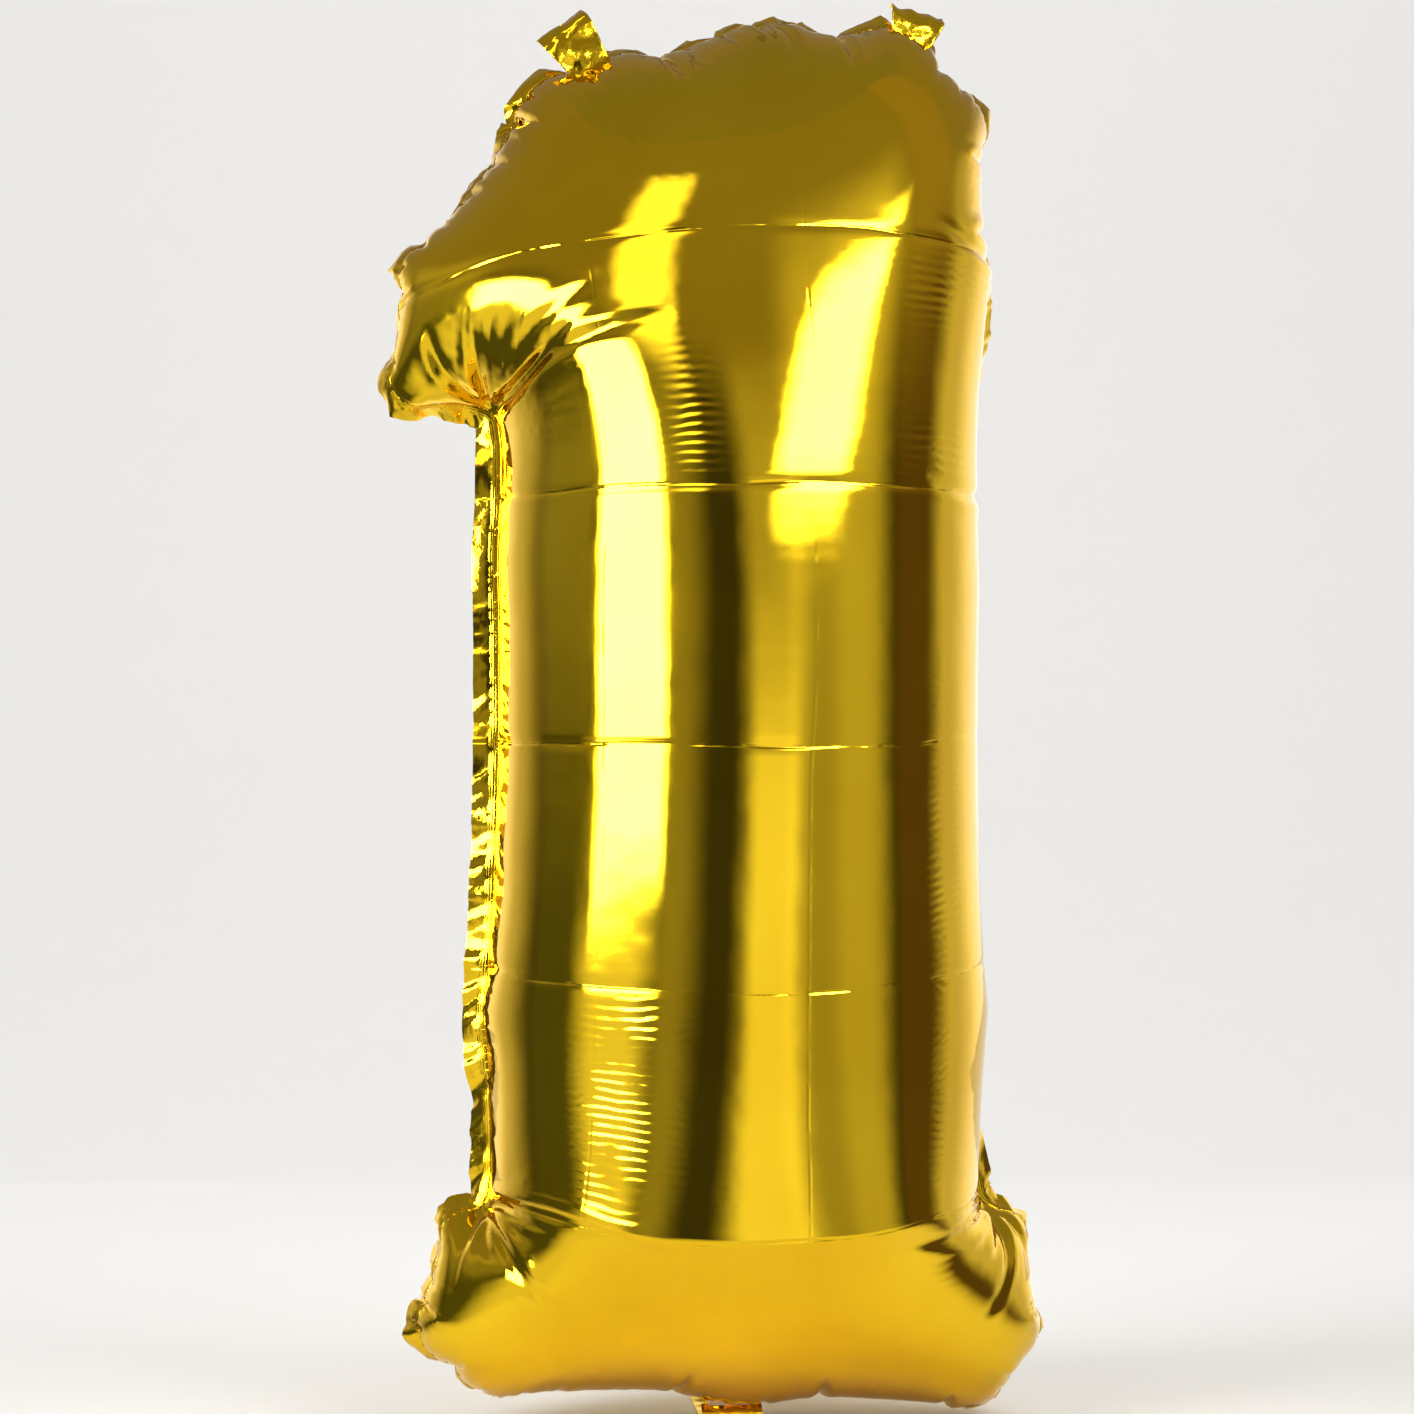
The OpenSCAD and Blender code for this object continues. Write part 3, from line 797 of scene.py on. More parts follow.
@dataclass
class Body:
    """The two films of the body, sealed together and blown up."""

    folds: tuple[Fold, ...] = (
        Fold((-0.226, 0.664), (-0.062, 0.716), 0.0030),
        Fold((-0.226, 0.664), (-0.100, 0.742), 0.0018),
        Fold((-0.226, 0.664), (-0.228, 0.742), 0.0030),
        Fold((-0.226, 0.664), (-0.196, 0.728), 0.0022),
        Fold((-0.218, 0.168), (-0.050, 0.166), 0.0026),
        Fold((-0.218, 0.168), (-0.120, 0.112), 0.0030),
        Fold((-0.218, 0.168), (-0.198, 0.108), 0.0024),
        Fold((0.218, 0.164), (0.080, 0.166), 0.0026),
        Fold((0.218, 0.164), (0.150, 0.098), 0.0030),
        Fold((0.218, 0.164), (0.206, 0.104), 0.0020),
        Fold((0.222, 0.768), (0.110, 0.778), 0.0024),
        Fold((0.224, 0.618), (0.100, 0.622), 0.0018),
        Fold((0.020, 0.954), (0.030, 0.870), 0.0022),
        Fold((-0.040, 0.948), (-0.030, 0.890), 0.0016),
        Fold((-0.212, 0.838), (-0.170, 0.812), 0.0020),
    )
    dent: float = 0.00045
    pinch: float = 0.0022  # how much deeper the creases across are beside the seam
    pinch_reach: float = 0.022
    crease_width: float = 0.0022
    seam_calm: float = 0.008  # the film keeps its blown-up shape at the seam
    step_out: float = 0.0165  # how far the shaft stands out over the crease at the top of the foot
    step_reach: tuple[float, float] = (0.030, 0.055)  # below and above that crease
    step_half_width: float = 0.11
    cut: Cut = field(default_factory=Cut)
    lay: MarginLay = field(default_factory=MarginLay)
    inflation: Inflation = field(default_factory=Inflation)
    ply_gap: float = 0.00015
    ripple_zones: tuple[tuple[float, float, float, float], ...] = (
        (0.118, 0.330, 0.018, 0.140),
        (0.118, 0.632, 0.026, 0.020),
        (-0.100, 0.232, 0.045, 0.050),
        (-0.052, 0.650, 0.012, 0.035),
        (-0.080, 0.302, 0.022, 0.016),
        (0.120, 0.740, 0.030, 0.020),
    )

    def inflate(self) -> None:
        """Blows the films up and keeps the result."""
        levels = 2
        self.mesh, self.x = self.inflation.run(self.cut, self.lay, levels)
        mesh = self.mesh
        normals = vertex_normals(self.x, mesh.tri[mesh.panel != Panel.MARGIN.value])
        inside = np.isnan(mesh.off)
        seam = mesh.outline.at(np.linspace(0, mesh.outline.length, 700))
        gap = np.array([np.min(np.linalg.norm(seam - p, axis=1)) for p in mesh.flat])
        height = np.zeros(len(self.x))
        for z in self.cut.creases_across:
            line = np.exp(-(((mesh.flat[:, 1] - z) / self.crease_width) ** 2))
            height -= line * (self.dent + self.pinch * np.exp(-((gap / self.pinch_reach) ** 2)))
        height += self._foot_step(mesh.flat)
        for k, fold in enumerate(self.folds):
            height += fold.height(mesh.flat) * np.where(mesh.side > 0, 0.6 if k % 2 else 0.9, 1.0)
        height *= smooth(gap / self.seam_calm) * inside
        self.x = self.x + normals * height[:, None]

    def _foot_step(self, flat: Array) -> Array:
        """How far the film stands out on either side of the crease between shaft and foot."""
        over = flat[:, 1] - self.cut.creases_across[0]
        fall = np.where(over > 0, over / self.step_reach[1], -over / self.step_reach[0])
        return self.step_out * np.exp(-fall - (flat[:, 0] / self.step_half_width) ** 4)

    def _ripple(self, flat: Array) -> Array:
        """How strongly fine ripples show at flat places."""
        total = np.zeros(len(flat))
        for u, v, ru, rv in self.ripple_zones:
            total = np.maximum(total, np.exp(-(((flat[:, 0] - u) / ru) ** 2) - ((flat[:, 1] - v) / rv) ** 2))
        return total

    def panel(self, which: Panel, name: str, node: str, finish: FoilFinish) -> Object:
        """Makes one film with its share of the margin.

        Args:
            which: Front or rear.
            name: The piece's name.
            node: The CAD node it stands for.
            finish: Its finish.

        Returns:
            The piece.
        """
        mesh = self.mesh
        sign = -1.0 if which is Panel.FRONT else 1.0
        strip = mesh.tri[mesh.panel == Panel.MARGIN.value]
        out = vertex_normals(self.x, strip)
        if np.mean(out[np.nan_to_num(mesh.off) > 0, 1]) * sign < 0:
            out, strip = -out, strip[:, ::-1]
        tri = np.vstack([mesh.tri[mesh.panel == which.value], strip])
        used = np.unique(tri)
        number = np.full(len(self.x), -1)
        number[used] = np.arange(len(used))
        on_margin = (np.nan_to_num(mesh.off) > 0)[:, None]
        points = self.x + on_margin * out * self.ply_gap
        made = mesh_object(name, points[used], number[tri], finish.material())
        set_uv(made, mesh.flat[used])
        set_attribute(made, "ripple", self._ripple(mesh.flat[used]))
        set_attribute(made, "loose", smooth(np.nan_to_num(mesh.off[used]) / 0.006))
        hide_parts(node)
        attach(made, "balloon")
        flat = self.cut.flat_size()
        area = self.cut.outline().area() + self.cut.margin * mesh.outline.length
        LOG.info("%s: flat %.3f x %.3f m, area %.4f", name, *flat, area)
        return made

    def margin_at(self, s: Array, off: float) -> Array:
        """Places on the margin's middle surface.

        Args:
            s: Places along the seam.
            off: Distance outside the seam.

        Returns:
            The places in the row frame.
        """
        mesh = self.mesh
        rows = np.unique(np.round(mesh.off[~np.isnan(mesh.off)], 6))
        hi = int(np.clip(np.searchsorted(rows, off), 1, len(rows) - 1))
        found = []
        for row in rows[hi - 1 : hi + 1]:
            k = np.flatnonzero(np.abs(np.nan_to_num(mesh.off, nan=-1) - row) < 1e-6)
            k = k[np.argsort(mesh.s[k])]
            columns = [np.interp(s, mesh.s[k], self.x[k, c], period=mesh.outline.length) for c in range(3)]
            found.append(np.stack(columns, axis=-1))
        t = (off - rows[hi - 1]) / (rows[hi] - rows[hi - 1])
        return found[0] * (1 - t) + found[1] * t


@dataclass
class HeatSeal:
    """The fused band along the seam, with lengthwise ridges and small pleats at its root."""

    body: Body
    width: float = 0.0056
    thickness: float = 0.0007
    ridge: float = 0.00022
    ridges: int = 3
    step: float = 0.004
    pleat_pitch: float = 0.0052
    neck_room: float = 0.022

    def _line(self, name: str, off: float, step: float, left_out: float = 0.0) -> Object:
        """Line along the margin that the Geometry Nodes follow.

        Args:
            name: The object's name.
            off: Distance outside the seam.
            step: Distance between its points.
            left_out: How far either side of the neck it has no points.

        Returns:
            An object of edges with the attributes outward and facing.
        """
        length = self.body.mesh.outline.length
        n = round(length / step)
        s = np.arange(n) * length / n
        from_neck = np.mod(s - self.body.mesh.outline.station(2) + length / 2, length) - length / 2
        s = s[np.abs(from_neck) >= left_out]
        n = len(s)
        near, far = self.body.margin_at(s, max(off - 0.002, 0.0)), self.body.margin_at(s, off + 0.002)
        points = self.body.margin_at(s, off)
        outward = unit(far - near)
        along = unit(np.roll(points, -1, axis=0) - np.roll(points, 1, axis=0))
        facing = unit(np.cross(along, outward))
        data = bpy.data.meshes.new(name)
        data.from_pydata(points.tolist(), [(k, (k + 1) % n) for k in range(n)], [])
        made = bpy.data.objects.new(name, data)
        bpy.context.scene.collection.objects.link(made)
        set_attribute(made, "outward", outward)
        set_attribute(made, "facing", facing)
        return made

    @staticmethod
    def _tree(name: str, sizes: dict[str, float]) -> tuple[Graph, bpy.types.Node, bpy.types.Node]:
        """Starts a Geometry Nodes tree with named inputs.

        Args:
            name: The tree's name.
            sizes: Its number inputs and their values.

        Returns:
            The graph, its input node and its output node.
        """
        tree = bpy.data.node_groups.new(name, "GeometryNodeTree")
        tree.interface.new_socket("Geometry", in_out="INPUT", socket_type="NodeSocketGeometry")
        tree.interface.new_socket("Finish", in_out="INPUT", socket_type="NodeSocketMaterial")
        for size, value in sizes.items():
            socket = tree.interface.new_socket(size, in_out="INPUT", socket_type="NodeSocketFloat")
            socket.default_value = value
        tree.interface.new_socket("Geometry", in_out="OUTPUT", socket_type="NodeSocketGeometry")
        g = Graph(tree)
        return g, g.add("NodeGroupInput"), g.add("NodeGroupOutput")

    @staticmethod
    def _apply(made: Object, g: Graph, sizes: dict[str, float], material: Material) -> Object:
        """Runs a tree on an object and keeps the plain mesh.

        Args:
            made: The object.
            g: The tree's graph.
            sizes: Values of its number inputs.
            material: The finish.

        Returns:
            The object with its final mesh.
        """
        modifier = made.modifiers.new("nodes", "NODES")
        modifier.node_group = g.tree
        items = g.tree.interface.items_tree
        by_name = {item.name: item.identifier for item in items if item.in_out == "INPUT"}
        modifier[by_name["Finish"]] = material
        for size, value in sizes.items():
            modifier[by_name[size]] = value
        made = finished(made)
        made.data.shade_smooth()
        return made

    @staticmethod
    def _close(g: Graph, source: bpy.types.Node, result: bpy.types.Node, shape: Socket) -> None:
        """Ends a tree in Realize Instances and Set Material."""
        real = g.add("GeometryNodeRealizeInstances", {0: shape}).outputs[0]
        inputs = {"Geometry": real, "Material": source.outputs["Finish"]}
        dressed = g.add("GeometryNodeSetMaterial", inputs).outputs[0]
        g.tree.links.new(dressed, result.inputs[0])

    @staticmethod
    def _vector(g: Graph, name: str) -> Socket:
        """A vector stored on the line under a name."""
        return g.add("GeometryNodeInputNamedAttribute", {"Name": name}, data_type="FLOAT_VECTOR").outputs[0]

    def band(self, material: Material) -> Object:
        """Sweeps the ridged band along the seam."""
        sizes = {"Width": self.width, "Thickness": self.thickness, "Ridge": self.ridge}
        sizes["Ridges"] = float(self.ridges)
        g, source, result = self._tree("ridged_band", sizes)
        curve = g.add("GeometryNodeMeshToCurve", {0: source.outputs["Geometry"]})
        turned = g.add("GeometryNodeSetCurveNormal", {"Curve": curve.outputs[0]}, mode="FREE")
        g.tree.links.new(self._vector(g, "outward"), turned.inputs["Normal"])
        ring = g.add("GeometryNodeCurvePrimitiveCircle", {"Resolution": 28, "Radius": 1.0})
        xyz = g.add("ShaderNodeSeparateXYZ", {0: g.add("GeometryNodeInputPosition").outputs[0]})
        across, through = xyz.outputs[0], xyz.outputs[1]
        count = g.math("MULTIPLY", across, source.outputs["Ridges"])
        wave = g.math("COSINE", g.math("MULTIPLY", count, 2 * math.pi))
        ridge = g.math("MULTIPLY", wave, source.outputs["Ridge"])
        half = g.math("ADD", g.math("MULTIPLY", source.outputs["Thickness"], 0.5), ridge)
        x = g.math("MULTIPLY", g.math("MULTIPLY", across, 0.5), source.outputs["Width"])
        place = g.add("ShaderNodeCombineXYZ", {0: x, 1: g.math("MULTIPLY", through, half)}).outputs[0]
        moved = {"Geometry": ring.outputs[0], "Position": place}
        profile = g.add("GeometryNodeSetPosition", moved).outputs[0]
        both = {"Curve": turned.outputs[0], "Profile Curve": profile}
        self._close(g, source, result, g.add("GeometryNodeCurveToMesh", both).outputs[0])
        return self._apply(self._line("seal_band", self.width / 2 + 0.0002, self.step), g, sizes, material)

    def pleats(self, material: Material) -> Object:
        """Sets small pleats along the band's root."""
        sizes = {"Length": 0.0046, "Breadth": 0.0011}
        g, source, result = self._tree("root_pleats", sizes)
        axes = {0: self._vector(g, "outward"), 1: self._vector(g, "facing")}
        turn = g.add("FunctionNodeAxesToRotation", axes, primary_axis="X", secondary_axis="Z")
        bead = g.add("GeometryNodeMeshIcoSphere", {"Radius": 0.5, "Subdivisions": 2})
        length, breadth = source.outputs["Length"], source.outputs["Breadth"]
        size = g.add("ShaderNodeCombineXYZ", {0: length, 1: breadth, 2: breadth})
        chance = g.add("FunctionNodeRandomValue", {"Min": 0.35, "Max": 1.0, "Seed": 11}, data_type="FLOAT")
        low = next(s for s in chance.inputs if s.name == "Min" and s.type == "VALUE")
        high = next(s for s in chance.inputs if s.name == "Max" and s.type == "VALUE")
        low.default_value, high.default_value = 0.35, 1.1
        pick = next(s for s in chance.outputs if s.type == "VALUE")
        scale = g.add("ShaderNodeVectorMath", {0: size.outputs[0]}, operation="SCALE")
        g.tree.links.new(pick, scale.inputs["Scale"])
        spread = {"Points": source.outputs["Geometry"], "Instance": bead.outputs[0]}
        spread |= {"Rotation": turn.outputs[0], "Scale": scale.outputs[0]}
        self._close(g, source, result, g.add("GeometryNodeInstanceOnPoints", spread).outputs[0])
        line = self._line("seal_pleats", 0.0006, self.pleat_pitch, self.neck_room)
        return self._apply(line, g, sizes, material)

    def build(self, finish: FoilFinish) -> None:
        """Makes the band and its pleats.

        Args:
            finish: Their finish.
        """
        material = finish.material()
        band, pleats = self.band(material), self.pleats(material)
        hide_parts("heat_seal")
        for piece in (band, pleats):
            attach(piece, "balloon")
            LOG.info("%s: %d faces", piece.name, len(piece.data.polygons))


@dataclass
class HangingTab:
    """A lobe of both films outside the margin, with a punched hole, curling back."""

    name: str
    node: str
    moving: str
    root: tuple[float, float]
    lean: float
    seed: int
    crumple: float = 0.0012
    width: float = 0.034
    flat_length: float = 0.026
    length: float = 0.021  # as it stands, crumpled
    corner: float = 0.008
    hole_radius: float = 0.003
    hole_out: float = 0.011
    tail: float = 0.018
    waist: float = 0.004
    bend: float = 0.003  # distance either side of its root
    first_curl: float = 48.0
    last_curl: float = 112.0
    spacing: float = 0.0013

    def reach_seam(self, body: Body) -> None:
        """Lengthens the tail until it meets the seam below the tab.

        Args:
            body: The inflated body.
        """
        length = body.mesh.outline.length
        root = (AXIS_X + self.root[0], 0, BASE_Z + self.root[1])
        seam = body.margin_at(np.linspace(0, length, 1500), 0.0) - root
        a = math.radians(self.lean)
        up = seam[:, 0] * math.sin(a) + seam[:, 2] * math.cos(a)
        across = seam[:, 0] * math.cos(a) - seam[:, 2] * math.sin(a)
        near = (np.abs(across) < 0.003) & (up > -0.08)
        self.tail = float(-up[near].max()) + 0.004
        LOG.info("%s: tail %.1f mm", self.name, self.tail * 1000)

    def _flat(self) -> tuple[Array, Array]:
        """Flat points and triangles of the tab, its hole open."""
        a = np.linspace(0, math.pi / 2, 8)
        w, c = self.width / 2, self.corner
        arc = [(w - c + c * math.cos(t), self.length - c + c * math.sin(t)) for t in a]
        levels = np.linspace(-self.tail, self.length - c, 24)[:-1]
        side = [(w - self.waist * smooth(-z / self.tail), z) for z in levels]
        right = np.array(side + arc)
        ring = Outline([(x, z, 1e-5) for x, z in right] + [(-x, z, 1e-5) for x, z in right[::-1]])
        edge = ring.at(np.arange(0, ring.length, self.spacing))
        turn = np.linspace(0, 2 * math.pi, 19)[:-1]
        hole = np.stack([np.cos(turn), np.sin(turn)], axis=1) * self.hole_radius + (0, self.hole_out)
        lo, hi = edge.min(0), edge.max(0)
        inner = FilmMesh._lattice(lo + self.spacing / 3, hi, self.spacing)
        inner = inner[ring.holds(inner)]
        rim = np.vstack([edge, hole])
        gap = np.min(np.linalg.norm(inner[:, None] - rim[None], axis=2), axis=1)
        from_hole = np.linalg.norm(inner - (0, self.hole_out), axis=1)
        inner = inner[(gap > 0.6 * self.spacing) & (from_hole > self.hole_radius)]
        points = np.vstack([edge, hole, inner])
        tri = FilmMesh._triangles(points, len(edge))
        middle = points[tri].mean(1)
        return points, tri[np.linalg.norm(middle - (0, self.hole_out), axis=1) > self.hole_radius * 0.97]

    def _folds(self, flat: Array) -> Array:
        """Height of the crumpling at flat points."""
        rng = np.random.default_rng(self.seed)
        total = np.zeros(len(flat))
        for _ in range(14):
            a, pitch = rng.uniform(0, math.pi), rng.uniform(0.009, 0.022)
            phase = rng.uniform(0, 1)
            t = (flat @ np.array([math.cos(a), math.sin(a)])) / pitch + phase
            total += (1 - 2 * np.abs(2 * (t - np.floor(t)) - 1)) * rng.uniform(0.3, 1.0) * pitch / 0.022
        return total / 3

    def build(self, finish: FoilFinish) -> Object:
        """Makes the tab.

        Args:
            finish: Its finish.

        Returns:
            The piece.
        """
        flat, tri = self._flat()
        t = flat[:, 1] / self.length
        first, last = math.radians(self.first_curl), math.radians(self.last_curl)
        rate = (last - first) / self.length
        curl = first + rate * np.maximum(flat[:, 1], 0)
        up = np.where(t > 0, (np.sin(curl) - math.sin(first)) / rate, flat[:, 1])
        back = np.where(t > 0, (math.cos(first) - np.cos(curl)) / rate, 0)
        fold = self._folds(flat) * self.crumple * smooth((flat[:, 1] + self.tail) / 0.012)
        a = math.radians(self.lean)
        along, across = np.array([math.sin(a), 0, math.cos(a)]), np.array([math.cos(a), 0, -math.sin(a)])
        plane = np.array([AXIS_X + self.root[0], 0, BASE_Z + self.root[1]])
        back = back - 0.0012 * smooth(-t * 4)
        lift = np.stack([fold * np.sin(curl), fold * np.cos(curl)], axis=1) * (-1, 1)
        rise, depth = (up + lift[:, 0])[:, None], (back + lift[:, 1])[:, None]
        points = plane + flat[:, :1] * across + rise * along + depth * np.array([0, 1, 0])
        made = mesh_object(self.name, points, tri, finish.material())
        set_uv(made, flat)
        wall = made.modifiers.new("ply", "SOLIDIFY")
        wall.thickness, wall.offset = 0.0006, 0.0
        made = finished(made)
        set_attribute(made, "loose", np.ones(len(made.data.vertices)))
        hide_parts(self.node)
        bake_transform(made)
        return made


@dataclass
class FilmTube:
    """Two narrow plies welded along their sides, run along a path: the neck or the valve."""

    name: str
    nodes: tuple[str, str, str]
    width: float
    weld: float
    gap: float
    mouth: float
    wrinkle: float
    slot: str
    held: str
    columns: int = 25

    def build(self, path: Array, normals: Array, film: Material, fused: Material) -> list[Object]:
        """Makes the two plies and the side welds.

        Args:
            path: Points down the middle.
            normals: Unit vectors off the front ply, one for each point.
            film: Finish of the plies.
            fused: Finish of the welds.

        Returns:
            The front ply, the rear ply and the welds.
        """
        rows = len(path)
        x = np.linspace(-0.5, 0.5, self.columns)
        run = np.concatenate([[0], np.cumsum(np.linalg.norm(np.diff(path, axis=0), axis=1))])
        open_share = smooth((run / run[-1] - 0.55) / 0.45)
        arch = np.clip(1 - (np.abs(x) / (0.5 - self.weld / self.width)) ** 2, 0, 1)
        made = []
        for side, ply in ((1.0, "front"), (-1.0, "rear")):
            turns = run[:, None] * 2 * math.pi
            wave = np.sin(turns / 0.019 + 9 * x + side) + 0.6 * np.sin(turns / 0.0083 - 14 * x)
            crumple = self.wrinkle * arch * wave * smooth(run / 0.01)[:, None]
            lift = self.gap / 2 + arch * (self.mouth * open_share[:, None] + self.gap) + crumple
            points = path[:, None] + (side * lift)[..., None] * normals[:, None]
            points[..., 0] += self.width * x[None, :]
            faces = grid_faces(rows, self.columns)
            faces = [f[::-1] for f in faces] if side > 0 else faces
            piece = mesh_object(f"{self.name}_{ply}", points.reshape(-1, 3), faces, film)
            flat = np.stack(np.meshgrid(x * self.width, run), axis=-1).reshape(-1, 2)
            set_uv(piece, flat)
            set_attribute(piece, "loose", np.ones(rows * self.columns))
            made.append(piece)
        strips, faces = [], []
        for side in (-1, 1):
            edge = np.array([side * (self.width / 2 - w) for w in np.linspace(0, self.weld, 4)])
            for h in (0.5, -0.5):
                grid = path[:, None] + h * (self.gap * 0.98) * normals[:, None]
                grid = np.repeat(grid, 4, axis=1)
                grid[..., 0] += edge[None, :]
                flip = (h > 0) == (side > 0)
                cells = grid_faces(rows, 4, sum(len(g) for g in strips))
                faces += [f[::-1] for f in cells] if flip else cells
                strips.append(grid.reshape(-1, 3))
        weld = mesh_object(f"{self.name}_welds", np.vstack(strips), faces, fused)
        set_attribute(weld, "loose", np.ones(len(weld.data.vertices)))
        made.append(weld)
        for piece, node in zip(made, self.nodes):
            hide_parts(node)
        return made


@dataclass
class Studio:
    """Pale floor and backdrop, soft lights and the camera."""

    azimuth: float = -9.0
    distance: float = 3.0
    eye_height: float = 0.50
    aim_height: float = 0.4366
    sideways: float = -0.0157
    lens: float = 123.2
    floor_z: float = -0.8815
    cove_start: float = 1.2
    cove_bend: float = 0.9
    tent_radius: float = 1.9
    ceiling_glow: float = 0.28
    opening: tuple[float, float] = (0.30, 0.52)

    def directions(self) -> tuple[Vector, Vector]:
        """Level directions back to the camera and to its right."""
        a = math.radians(self.azimuth)
        return Vector((math.sin(a), -math.cos(a), 0)), Vector((math.cos(a), math.sin(a), 0))

    def camera(self) -> None:
        """Makes the camera."""
        back, right = self.directions()
        origin = Vector((AXIS_X, 0, BASE_Z)) + right * self.sideways
        eye = origin + back * self.distance + Vector((0, 0, self.eye_height))
        aim = origin + Vector((0, 0, self.aim_height))
        data = bpy.data.cameras.new("camera")
        data.lens, data.sensor_width = self.lens, 36.0
        data.clip_start, data.clip_end = 0.05, 60
        made = bpy.data.objects.new("camera", data)
        made.location = eye
        made.rotation_euler = (aim - eye).to_track_quat("-Z", "Y").to_euler()
        bpy.context.scene.collection.objects.link(made)
        bpy.context.scene.camera = made

    def lamp(self, name: str, turn: float, distance: float, height: float, side: float, power: float) -> None:
        """Makes a soft square light for the paper, facing the object.

        Args:
            name: Its name.
            turn: Degrees to the right of the camera, seen from the object.
            distance: Distance from the shaft.
            height: Height of its middle above the floor.
            side: Length of its side.
            power: Power in watts.
        """
        back, right = self.directions()
        a = math.radians(turn)
        place = (back * math.cos(a) + right * math.sin(a)) * distance
        place = Vector((place.x + AXIS_X, place.y, self.floor_z + height))
        data = bpy.data.lights.new(name, "AREA")
        data.shape, data.size, data.energy = "SQUARE", side, power
        made = bpy.data.objects.new(name, data)
        made.location = place
        aim = Vector((AXIS_X, 0, BASE_Z + 0.2))
        made.rotation_euler = (aim - place).to_track_quat("-Z", "Y").to_euler()
        made.visible_glossy = made.visible_camera = False
        bpy.context.scene.collection.objects.link(made)

    def cove(self) -> None:
        """Makes the floor that sweeps up into the backdrop."""
        back, right = self.directions()
        turns = np.linspace(0.1, math.pi / 2, 16)
        start, bend, half_width = self.cove_start, self.cove_bend, 5.0
        profile = [(half_width, 0.0), (0.0, 0.0), (-start, 0.0)]
        profile += [(-start - bend * math.sin(a), bend - bend * math.cos(a)) for a in turns]
        profile += [(-start - bend, TENT_HEIGHT)]
        origin = Vector((AXIS_X, 0, self.floor_z))
        points = [
            tuple(origin + back * d + right * w + Vector((0, 0, h)))
            for d, h in profile
            for w in (-half_width, half_width)
        ]
        faces = [(2 * k, 2 * k + 1, 2 * k + 3, 2 * k + 2) for k in range(len(profile) - 1)]
        made = mesh_object("cove", np.array(points), faces, PaperFinish("pale_paper").material())

    def _only_mirrored(self, made: Object) -> None:
        """Lets a studio piece show in mirror-like surfaces alone."""
        made.visible_camera = made.visible_diffuse = made.visible_shadow = False

    def tent(self) -> None:
        """Makes the ring of light panels that the foil mirrors, and its ceiling."""
        back, right = self.directions()
        n = 120
        turns = np.linspace(0, 2 * math.pi, n, endpoint=False)
        origin = Vector((AXIS_X, 0, self.floor_z))
        points = [
            tuple(origin + (back * math.cos(a) + right * math.sin(a)) * self.tent_radius + Vector((0, 0, h)))
            for h in (0.0, TENT_HEIGHT)
            for a in turns
        ]
        faces = [(k, (k + 1) % n, n + (k + 1) % n, n + k) for k in range(n)]
        finish = TentFinish(self.azimuth, self.floor_z)
        ring = mesh_object("light_ring", np.array(points), faces, finish.material("light_tent"))
        self._only_mirrored(ring)
        disc = [tuple(range(n))]
        low, high = np.array(points[:n]) + (0, 0, 0.002), np.array(points[n:])
        ground = finish.material("light_ground", self.opening)
        self._only_mirrored(mesh_object("light_ground", low, disc, ground))
        glow = PaperFinish("ceiling_glow", glow=self.ceiling_glow).material()
        self._only_mirrored(mesh_object("ceiling", high, disc, glow))

    def build(self) -> None:
        """Makes the whole studio."""
        self.camera()
        self.cove()
        self.tent()
        self.lamp("left_lamp", turn=-55, distance=2.4, height=2.2, side=1.6, power=42)
        self.lamp("right_lamp", turn=50, distance=2.6, height=2.4, side=1.8, power=33)
        self.lamp("wall_lamp", turn=160, distance=0.7, height=3.0, side=1.6, power=22)
        world = bpy.data.worlds.new("studio")
        world.use_nodes = True
        world.node_tree.nodes["Background"].inputs[0].default_value = (0.30, 0.29, 0.27, 1)
        bpy.context.scene.world = world
        bpy.context.scene.view_settings.view_transform = "Standard"


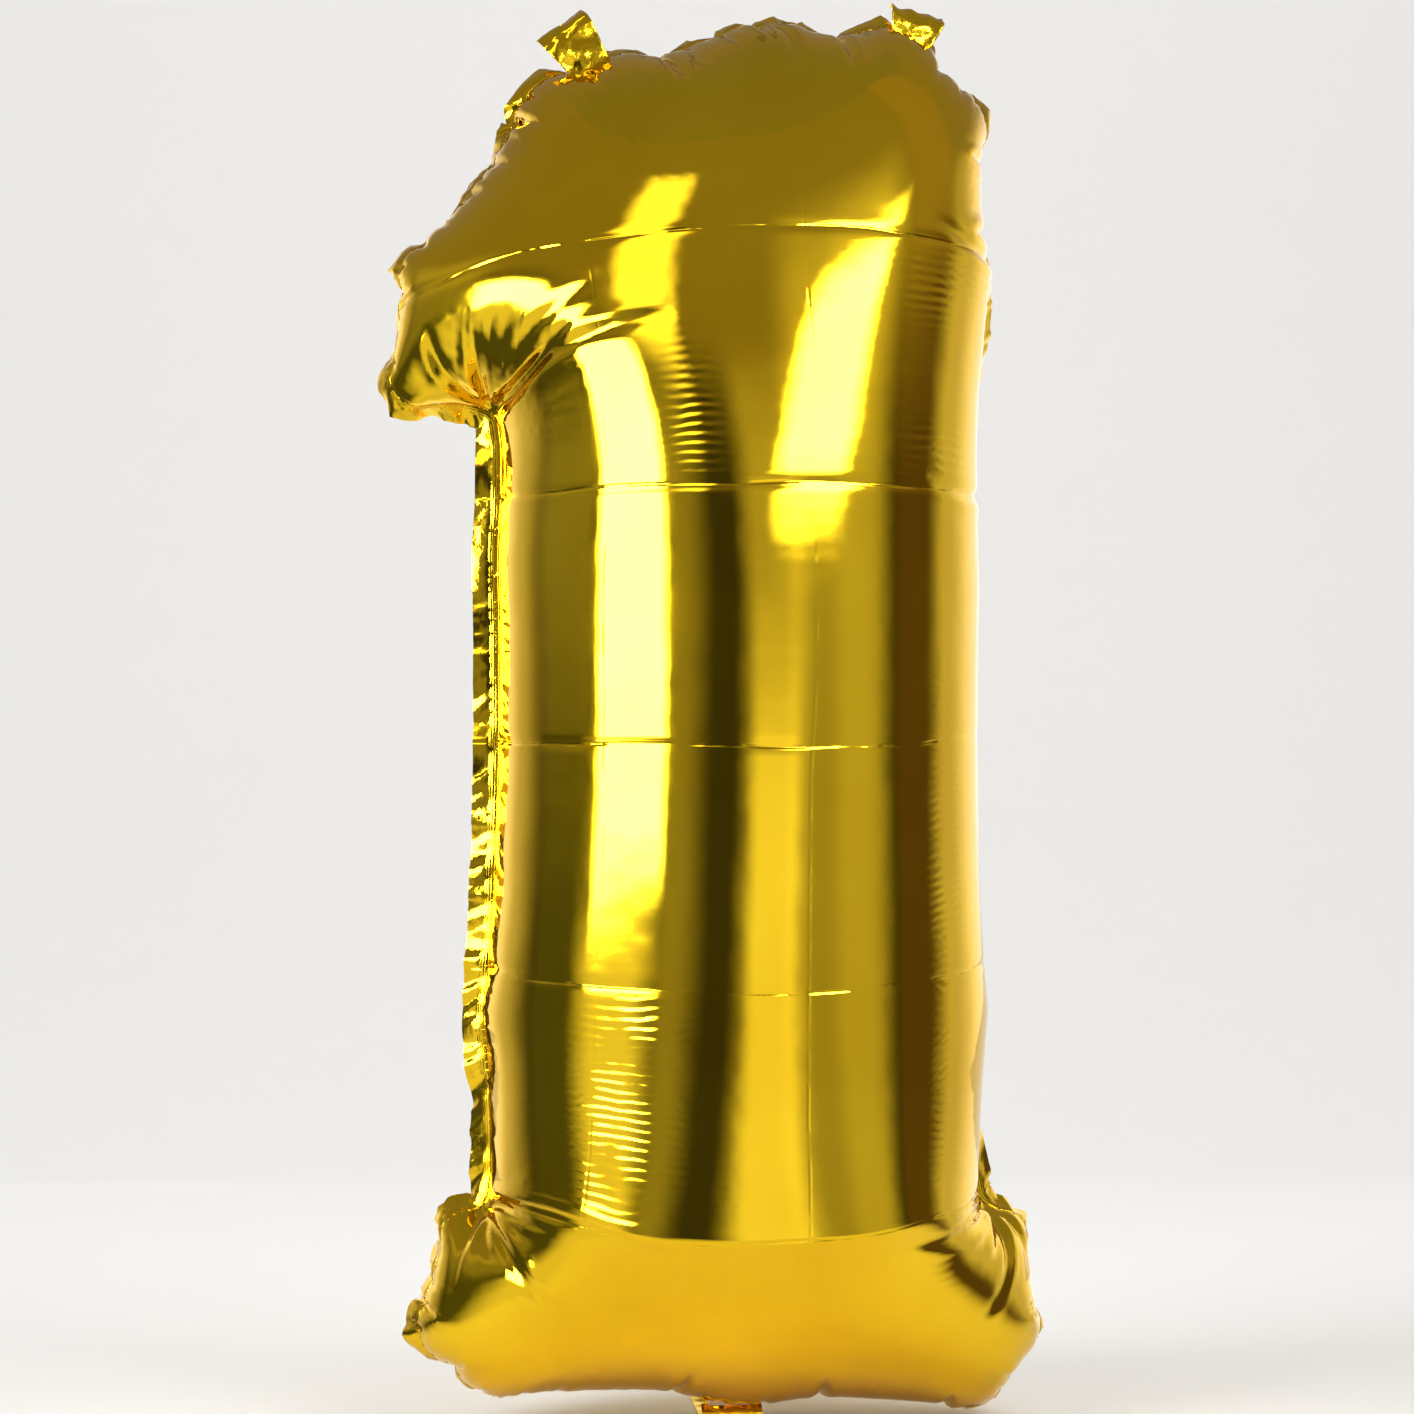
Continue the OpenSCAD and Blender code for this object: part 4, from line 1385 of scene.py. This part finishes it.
def fit_neck(body: Body) -> None:
    """Makes the filling neck, folded back under the body from the bottom seam.

    Args:
        body: The inflated body.
    """
    low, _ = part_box("neck_front_ply")
    _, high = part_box("neck_rear_ply")
    fold = Vector((AXIS_X, 0.0, BASE_Z - 0.00815))
    end = Vector((AXIS_X, high.y, (low.z + high.z) / 2 + 0.0047))
    seam = body.mesh.outline.station(2)
    root = body.margin_at(np.array([seam]), 0.003)[0]
    start = Vector((AXIS_X, float(root[1]) - 0.0004, min(float(root[2]), fold.z + 0.012)))
    above = Vector((AXIS_X, -0.0012, (start.z + fold.z) / 2))
    ways = [start, above, fold + Vector((0, 0.0012, -0.0001)), end]
    t = np.linspace(0, 1, 60)
    knots = np.array([0.0, 0.1, 0.2, 1.0])
    coarse = np.stack([np.interp(t, knots, [w[c] for w in ways]) for c in range(3)], axis=1)
    kernel = np.ones(5) / 5
    padded = np.pad(coarse, ((2, 2), (0, 0)), mode="edge")
    path = np.stack([np.convolve(padded[:, c], kernel, mode="valid") for c in range(3)], axis=1)
    along = unit(np.gradient(path, axis=0))
    normals = np.stack([np.zeros(len(t)), along[:, 2], -along[:, 1]], axis=1)
    nodes = ("neck_front_ply", "neck_rear_ply", "neck_side_welds")
    tube = FilmTube("neck", nodes, 0.038, 0.003, 0.0005, 0.0016, 0.0003, "neck_film", "folded")
    finish = FoilFinish(name="neck_foil", crumple=0.0006)
    welds = FoilFinish(name="neck_weld_foil", colour=(0.80, 0.50, 0.012), roughness=0.16, crumple=0.0003)
    start, end = tuple(fold - Vector((0, 0.001, 0))), tuple(fold + Vector((0, 0.007, 0.001)))
    for piece in tube.build(path, normals, finish.material(), welds.material()):
        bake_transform(piece)


def fit_valve() -> None:
    """Makes the clear sleeve that hangs inside the body above the neck."""
    low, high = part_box("valve_side_welds")
    t = np.linspace(0, 1, 70)
    z = low.z + (high.z - low.z) * t
    path = np.stack([np.full(70, (low.x + high.x) / 2), 0.0012 * np.sin(6 * t) * smooth(t * 3), z], axis=1)
    normals = np.tile([0.0, -1.0, 0.0], (70, 1))
    nodes = ("valve_film_front", "valve_film_rear", "valve_side_welds")
    tube = FilmTube("valve", nodes, high.x - low.x, 0.003, 0.0004, 0.0004, 0.0001, "valve_film", "hung")
    clear = ClearFinish().material()
    for piece in tube.build(path, normals, clear, clear):
        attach(piece, "valve")


def main() -> None:
    """Builds the balloon and its studio in order."""
    logging.basicConfig(level=logging.INFO, format="%(name)s: %(message)s")
    bpy.context.view_layer.update()
    Studio().build()
    body = Body()
    body.inflate()
    cut = body.cut
    finish = FoilFinish(crumple=0.0005, creases_across=cut.creases_across, creases_up=cut.creases_up)
    body.panel(Panel.FRONT, "film_front", "front_panel", finish)
    body.panel(Panel.REAR, "film_rear", "rear_panel", finish)
    HeatSeal(body).build(FoilFinish(name="fused_foil", colour=(0.80, 0.50, 0.012), roughness=0.14, coat=0.15))
    tab_finish = FoilFinish(name="tab_foil", colour=(0.86, 0.56, 0.012), roughness=0.10, crumple=0.0008)
    left = HangingTab("tab_left", "hanging_tab_left", "tab_left", (-0.1042, 0.8532), -35.0, seed=3)
    right = HangingTab("tab_right", "hanging_tab_right", "tab_right", (0.1171, 0.8650), 15.0, seed=8)
    right.crumple = 0.0022
    for tab in (left, right):
        tab.reach_seam(body)
        tab.build(tab_finish)
    fit_neck(body)
    fit_valve()
    bpy.context.view_layer.update()


if __name__ == "__main__":
    main()
